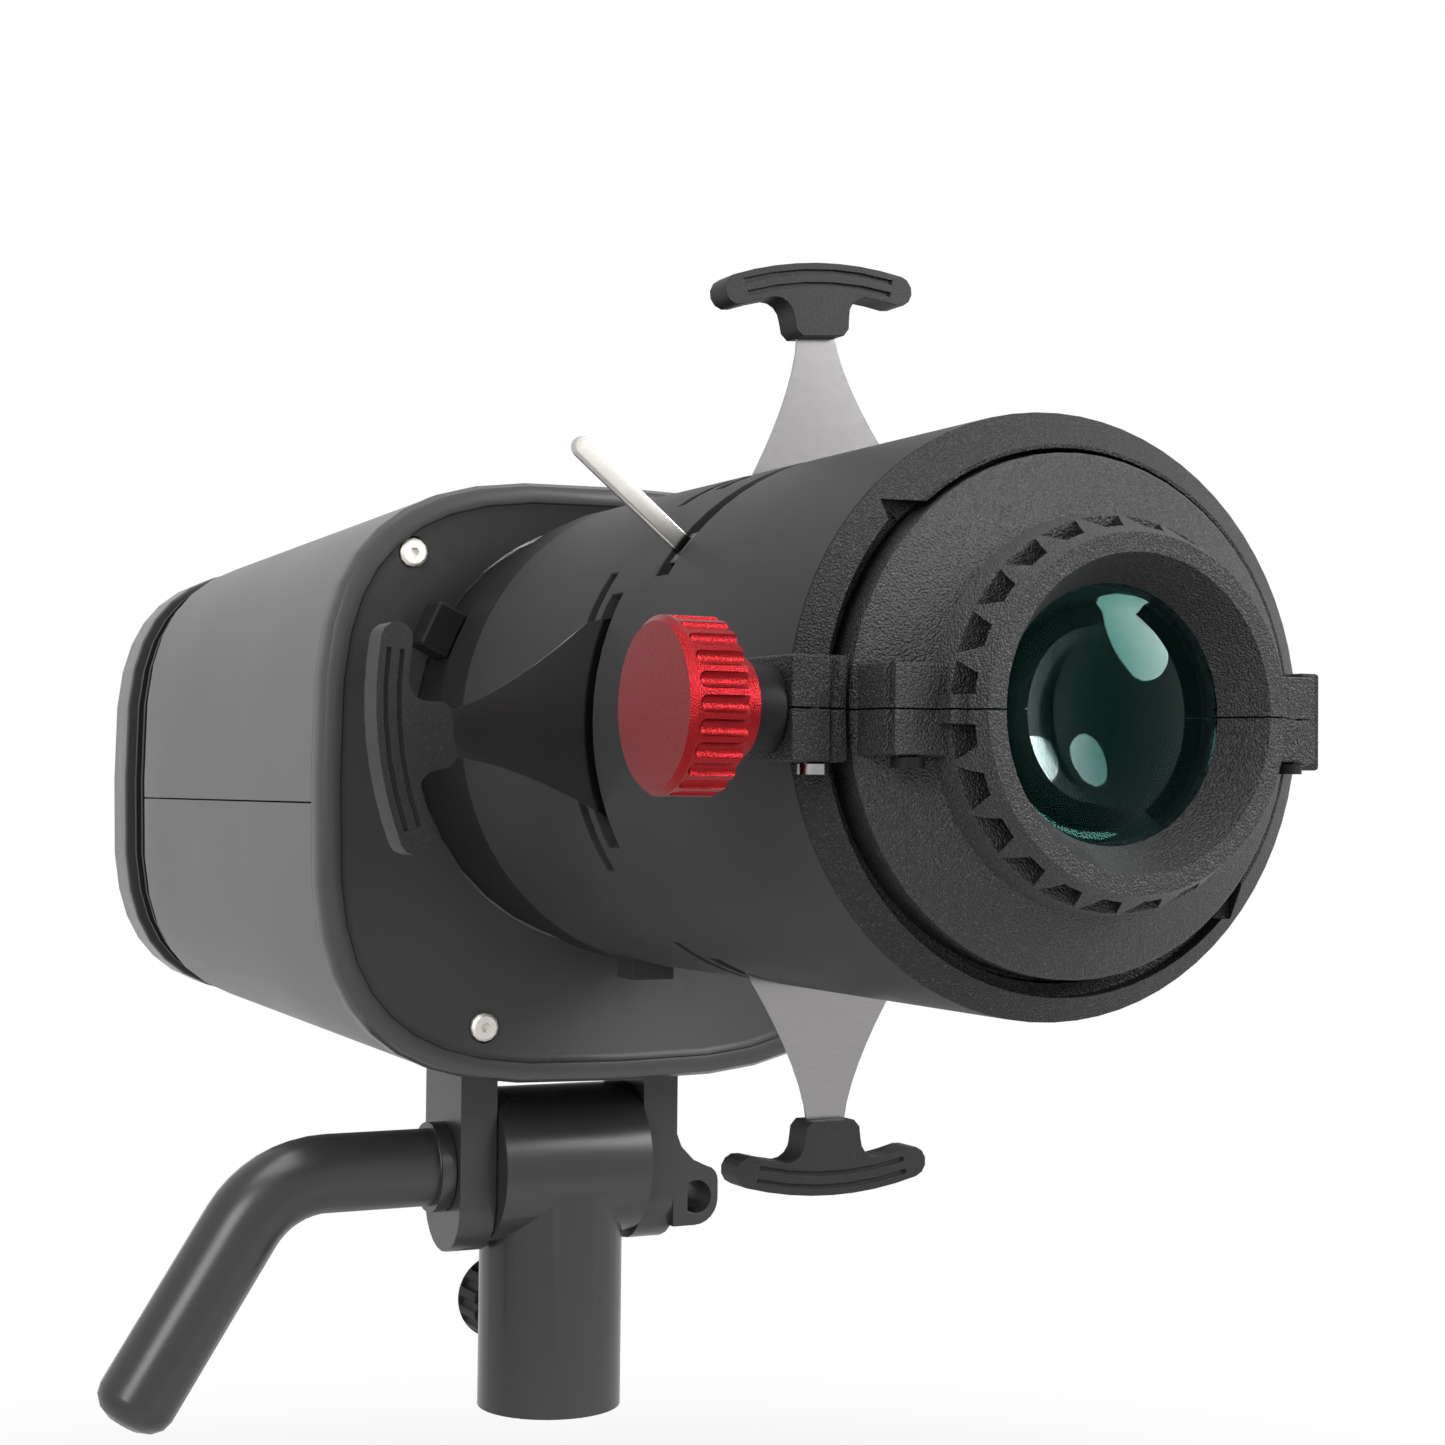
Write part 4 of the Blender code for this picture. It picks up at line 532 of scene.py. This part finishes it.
# knobs with milled flutes, modelled face up at the origin and then put in place; necks are radius and length,
# a mark is its length, width and depth
knobMake = {
    "sides": 144, "cutterSides": 24, "spare": 0.002, "slack": 0.00001, "endRound": 0.9, "endSteps": 5,
    "markPlace": 0.62, "corner": 34, "merge": 0.000006, "thin": 0.000002, "facing": 0.99,
    "frontSteps": 1, "rearSteps": 2,
}
knobLooks = {
    "redKnob": {
        "node": "lock_knob", "face": (-0.0778, -0.2223, 0.168), "axis": (-1, 0, 0), "radius": 0.0145,
        "length": 0.0102, "frontEdge": 0.001, "rearEdge": 0.0006, "necks": [(0.0084, 0.0048), (0.003, 0.0086)],
        "flutes": 24, "fluteRadius": 0.0015, "fluteDepth": 0.00105, "fluteStart": 0.0013, "round": 0.0002,
    },
    "dialKnob": {
        "node": "dimmer_dial", "face": (0.026, 0.2045, 0.1743), "axis": (0, 1, 0), "radius": 0.014,
        "length": 0.0177, "frontEdge": 0.0012, "rearEdge": 0.0003, "necks": [],
        "flutes": 36, "fluteRadius": 0.00085, "fluteDepth": 0.00044, "fluteStart": 0.0016, "round": 0.0001,
        "mark": (0.0062, 0.0011, 0.0007),
    },
    "standKnob": {
        "node": "stand_lock_knob", "face": (0, 0.037, 0.02), "axis": (0, 1, 0), "radius": 0.011,
        "length": 0.013, "frontEdge": 0.001, "rearEdge": 0.0006, "necks": [(0.004, 0.0155)],
        "flutes": 14, "fluteRadius": 0.0016, "fluteDepth": 0.0009, "fluteStart": 0.0014, "round": 0.0002,
    },
}


def fluteCutters(look):
    # one round-ended cutter, copied round the axis and joined
    reach = look["length"] - look["fluteStart"] + knobMake["spare"]
    radius = look["fluteRadius"]
    away = look["radius"] + radius - look["fluteDepth"]
    bpy.ops.object.select_all(action="DESELECT")
    bpy.ops.mesh.primitive_cylinder_add(vertices=knobMake["cutterSides"], radius=radius, depth=reach,
                                        location=(away, 0, -look["fluteStart"] - reach / 2))
    first = bpy.context.active_object
    applyPlace()
    pickEdges(first, lambda point: point.z > -look["fluteStart"] - knobMake["slack"])
    bpy.ops.mesh.bevel(offset=radius * knobMake["endRound"], segments=knobMake["endSteps"], affect="EDGES")
    bpy.ops.object.mode_set(mode="OBJECT")
    return copyRound(first, look["flutes"], (0, 0, 1))


def markCutter(look):
    # straight slot in the face that shows how far the knob is turned
    long, wide, deep = look["mark"]
    middle = look["radius"] * knobMake["markPlace"]
    return addBlock((middle - long / 2, -wide / 2, -deep), (middle + long / 2, wide / 2, deep))


def buildKnob(name, look):
    length, radius = look["length"], look["radius"]
    bpy.ops.object.select_all(action="DESELECT")
    bpy.ops.mesh.primitive_cylinder_add(vertices=knobMake["sides"], radius=radius, depth=length,
                                        location=(0, 0, -length / 2))
    knob = bpy.context.active_object
    knob.name = name
    applyPlace()
    pickEdges(knob, lambda point: point.z > -knobMake["slack"])
    bpy.ops.mesh.bevel(offset=look["frontEdge"], segments=knobMake["frontSteps"], affect="EDGES")
    pickEdges(knob, lambda point: point.z < -length + knobMake["slack"])
    bpy.ops.mesh.bevel(offset=look["rearEdge"], segments=knobMake["rearSteps"], affect="EDGES")
    pickFaces(knob, lambda centre, normal: normal.z < -knobMake["facing"])
    before = radius - look["rearEdge"]
    for neckRadius, neckLength in look["necks"]:
        bpy.ops.mesh.inset(thickness=before - neckRadius)
        bpy.ops.mesh.extrude_region_move(TRANSFORM_OT_translate={"value": (0, 0, -neckLength)})
        before = neckRadius
    bpy.ops.object.mode_set(mode="OBJECT")
    cutAway(knob, fluteCutters(look))
    if "mark" in look:
        cutAway(knob, markCutter(look))
    roundEdges(knob, look["round"], knobMake["corner"])
    # slivers where two rounded edges meet are closed up
    bpy.ops.object.mode_set(mode="EDIT")
    bpy.ops.mesh.select_all(action="SELECT")
    bpy.ops.mesh.remove_doubles(threshold=knobMake["merge"])
    bpy.ops.mesh.dissolve_degenerate(threshold=knobMake["thin"])
    bpy.ops.object.mode_set(mode="OBJECT")
    finishShading(knob)
    knob.rotation_mode = "QUATERNION"
    knob.rotation_quaternion = Vector((0, 0, 1)).rotation_difference(Vector(look["axis"]))
    knob.location = look["face"]
    applyPlace()
    standFor(knob, look["node"])


for name, look in knobLooks.items():
    buildKnob(name, look)
print("knobs made:", len(knobLooks))


# stage, light and camera
stageLook = {
    "floor": 30.0, "floorDrop": 0.16, "floorTone": 0.84, "floorRough": 0.7, "worldLight": 0.2,
    "fadeStart": 0.3, "fadeEnd": 0.75,
}
boxLooks = {
    "topBox": {
        "place": (-0.2, -0.25, 1.15), "target": (0, -0.05, 0.16), "size": 0.8, "power": 12, "shape": "SQUARE",
    },
    "leftBox": {
        "place": (-0.9, -0.8, 0.6), "target": (0, -0.05, 0.15), "size": 0.6, "power": 10, "shape": "DISK",
    },
    "rightBox": {
        "place": (0.8, -0.92, 0.66), "target": (0, -0.2, 0.16), "size": 0.55, "power": 17, "shape": "DISK",
    },
}


def seenDirectly(tree):
    # one where the eye, a reflection or clear glass looks at the background
    path = addNode(tree, "ShaderNodeLightPath")
    first = addNode(tree, "ShaderNodeMath",
                    {0: path.outputs["Is Camera Ray"], 1: path.outputs["Is Glossy Ray"]}, operation="MAXIMUM")
    every = addNode(tree, "ShaderNodeMath",
                    {0: first.outputs[0], 1: path.outputs["Is Transmission Ray"]}, operation="MAXIMUM")
    return every.outputs[0]


def buildStage():
    bpy.ops.object.select_all(action="DESELECT")
    # the part hangs on a stand that isn't built, so the floor lies below its reach at any tilt
    bpy.ops.mesh.primitive_plane_add(size=stageLook["floor"], location=(0, 0, -stageLook["floorDrop"]))
    floor = bpy.context.active_object
    floor.name = "floor"
    material, tree, shader = newMaterial("floorPale", Roughness=stageLook["floorRough"])
    shader.inputs["Base Color"].default_value = (stageLook["floorTone"],) * 3 + (1,)
    # the floor goes over to plain white away from the part, so no horizon shows
    coord = addNode(tree, "ShaderNodeTexCoord")
    reach = addNode(tree, "ShaderNodeVectorMath", {0: coord.outputs["Object"]}, operation="LENGTH")
    fade = addNode(tree, "ShaderNodeMapRange",
                   {"Value": reach.outputs["Value"], "From Min": stageLook["fadeStart"],
                    "From Max": stageLook["fadeEnd"]}, interpolation_type="SMOOTHSTEP")
    share = addNode(tree, "ShaderNodeMath", {0: fade.outputs["Result"], 1: seenDirectly(tree)},
                    operation="MULTIPLY")
    white = addNode(tree, "ShaderNodeEmission")
    blend = addNode(tree, "ShaderNodeMixShader",
                    {0: share.outputs[0], 1: shader.outputs[0], 2: white.outputs[0]})
    tree.links.new(blend.outputs[0], tree.nodes["Material Output"].inputs["Surface"])
    floor.data.materials.append(material)
    world = bpy.data.worlds.new("softSky")
    scene.world = world
    world.use_nodes = True
    tree = world.node_tree
    background = tree.nodes["Background"]
    background.inputs["Color"].default_value = (1, 1, 1, 1)
    strength = addNode(tree, "ShaderNodeMapRange",
                       {"Value": seenDirectly(tree), "To Min": stageLook["worldLight"], "To Max": 1.0})
    tree.links.new(strength.outputs["Result"], background.inputs["Strength"])


def softBox(name, place, target, size, power, shape):
    lamp = bpy.data.lights.new(name, "AREA")
    lamp.shape = shape
    lamp.size = size
    lamp.energy = power
    box = bpy.data.objects.new(name, lamp)
    scene.collection.objects.link(box)
    box.location = place
    box.rotation_euler = (Vector(target) - Vector(place)).to_track_quat("-Z", "Y").to_euler()


# place in millimetres from the barrel's front corner on the beam axis, angles in degrees
viewpoint = {
    "place": (-242.78, -351.66, -20.17), "yaw": 26.83, "pitch": 2.33, "roll": 1.93, "lean": 1.5,
    "focalPixels": 2440.9, "frame": 1445.0, "sensor": 36, "near": 0.01,
}


def buildCamera():
    yaw, pitch, roll, lean = (math.radians(viewpoint[key]) for key in ("yaw", "pitch", "roll", "lean"))
    ahead = Vector((math.sin(yaw) * math.cos(pitch), math.cos(yaw) * math.cos(pitch), math.sin(pitch)))
    right = Vector((math.cos(yaw), -math.sin(yaw), 0))
    above = right.cross(ahead)
    rolledRight = math.cos(roll) * right + math.sin(roll) * above
    rolledUp = -math.sin(roll) * right + math.cos(roll) * above
    turn = Matrix.Rotation(lean, 3, "Y")
    place = turn @ Vector(viewpoint["place"]) / 1000 + Vector((0, rimY, beamZ))
    axes = [turn @ rolledRight, turn @ rolledUp, turn @ -ahead]
    matrix = Matrix([[axes[c][r] for c in range(3)] + [place[r]] for r in range(3)] + [[0, 0, 0, 1]])
    data = bpy.data.cameras.new("photoCamera")
    data.sensor_width = viewpoint["sensor"]
    data.lens = viewpoint["focalPixels"] / viewpoint["frame"] * viewpoint["sensor"]
    data.clip_start = viewpoint["near"]
    camera = bpy.data.objects.new("photoCamera", data)
    scene.collection.objects.link(camera)
    camera.matrix_world = matrix
    scene.camera = camera


buildStage()
for name, look in boxLooks.items():
    softBox(name, **look)
buildCamera()
scene.view_settings.view_transform = "Standard"
print("stage, light and camera set")
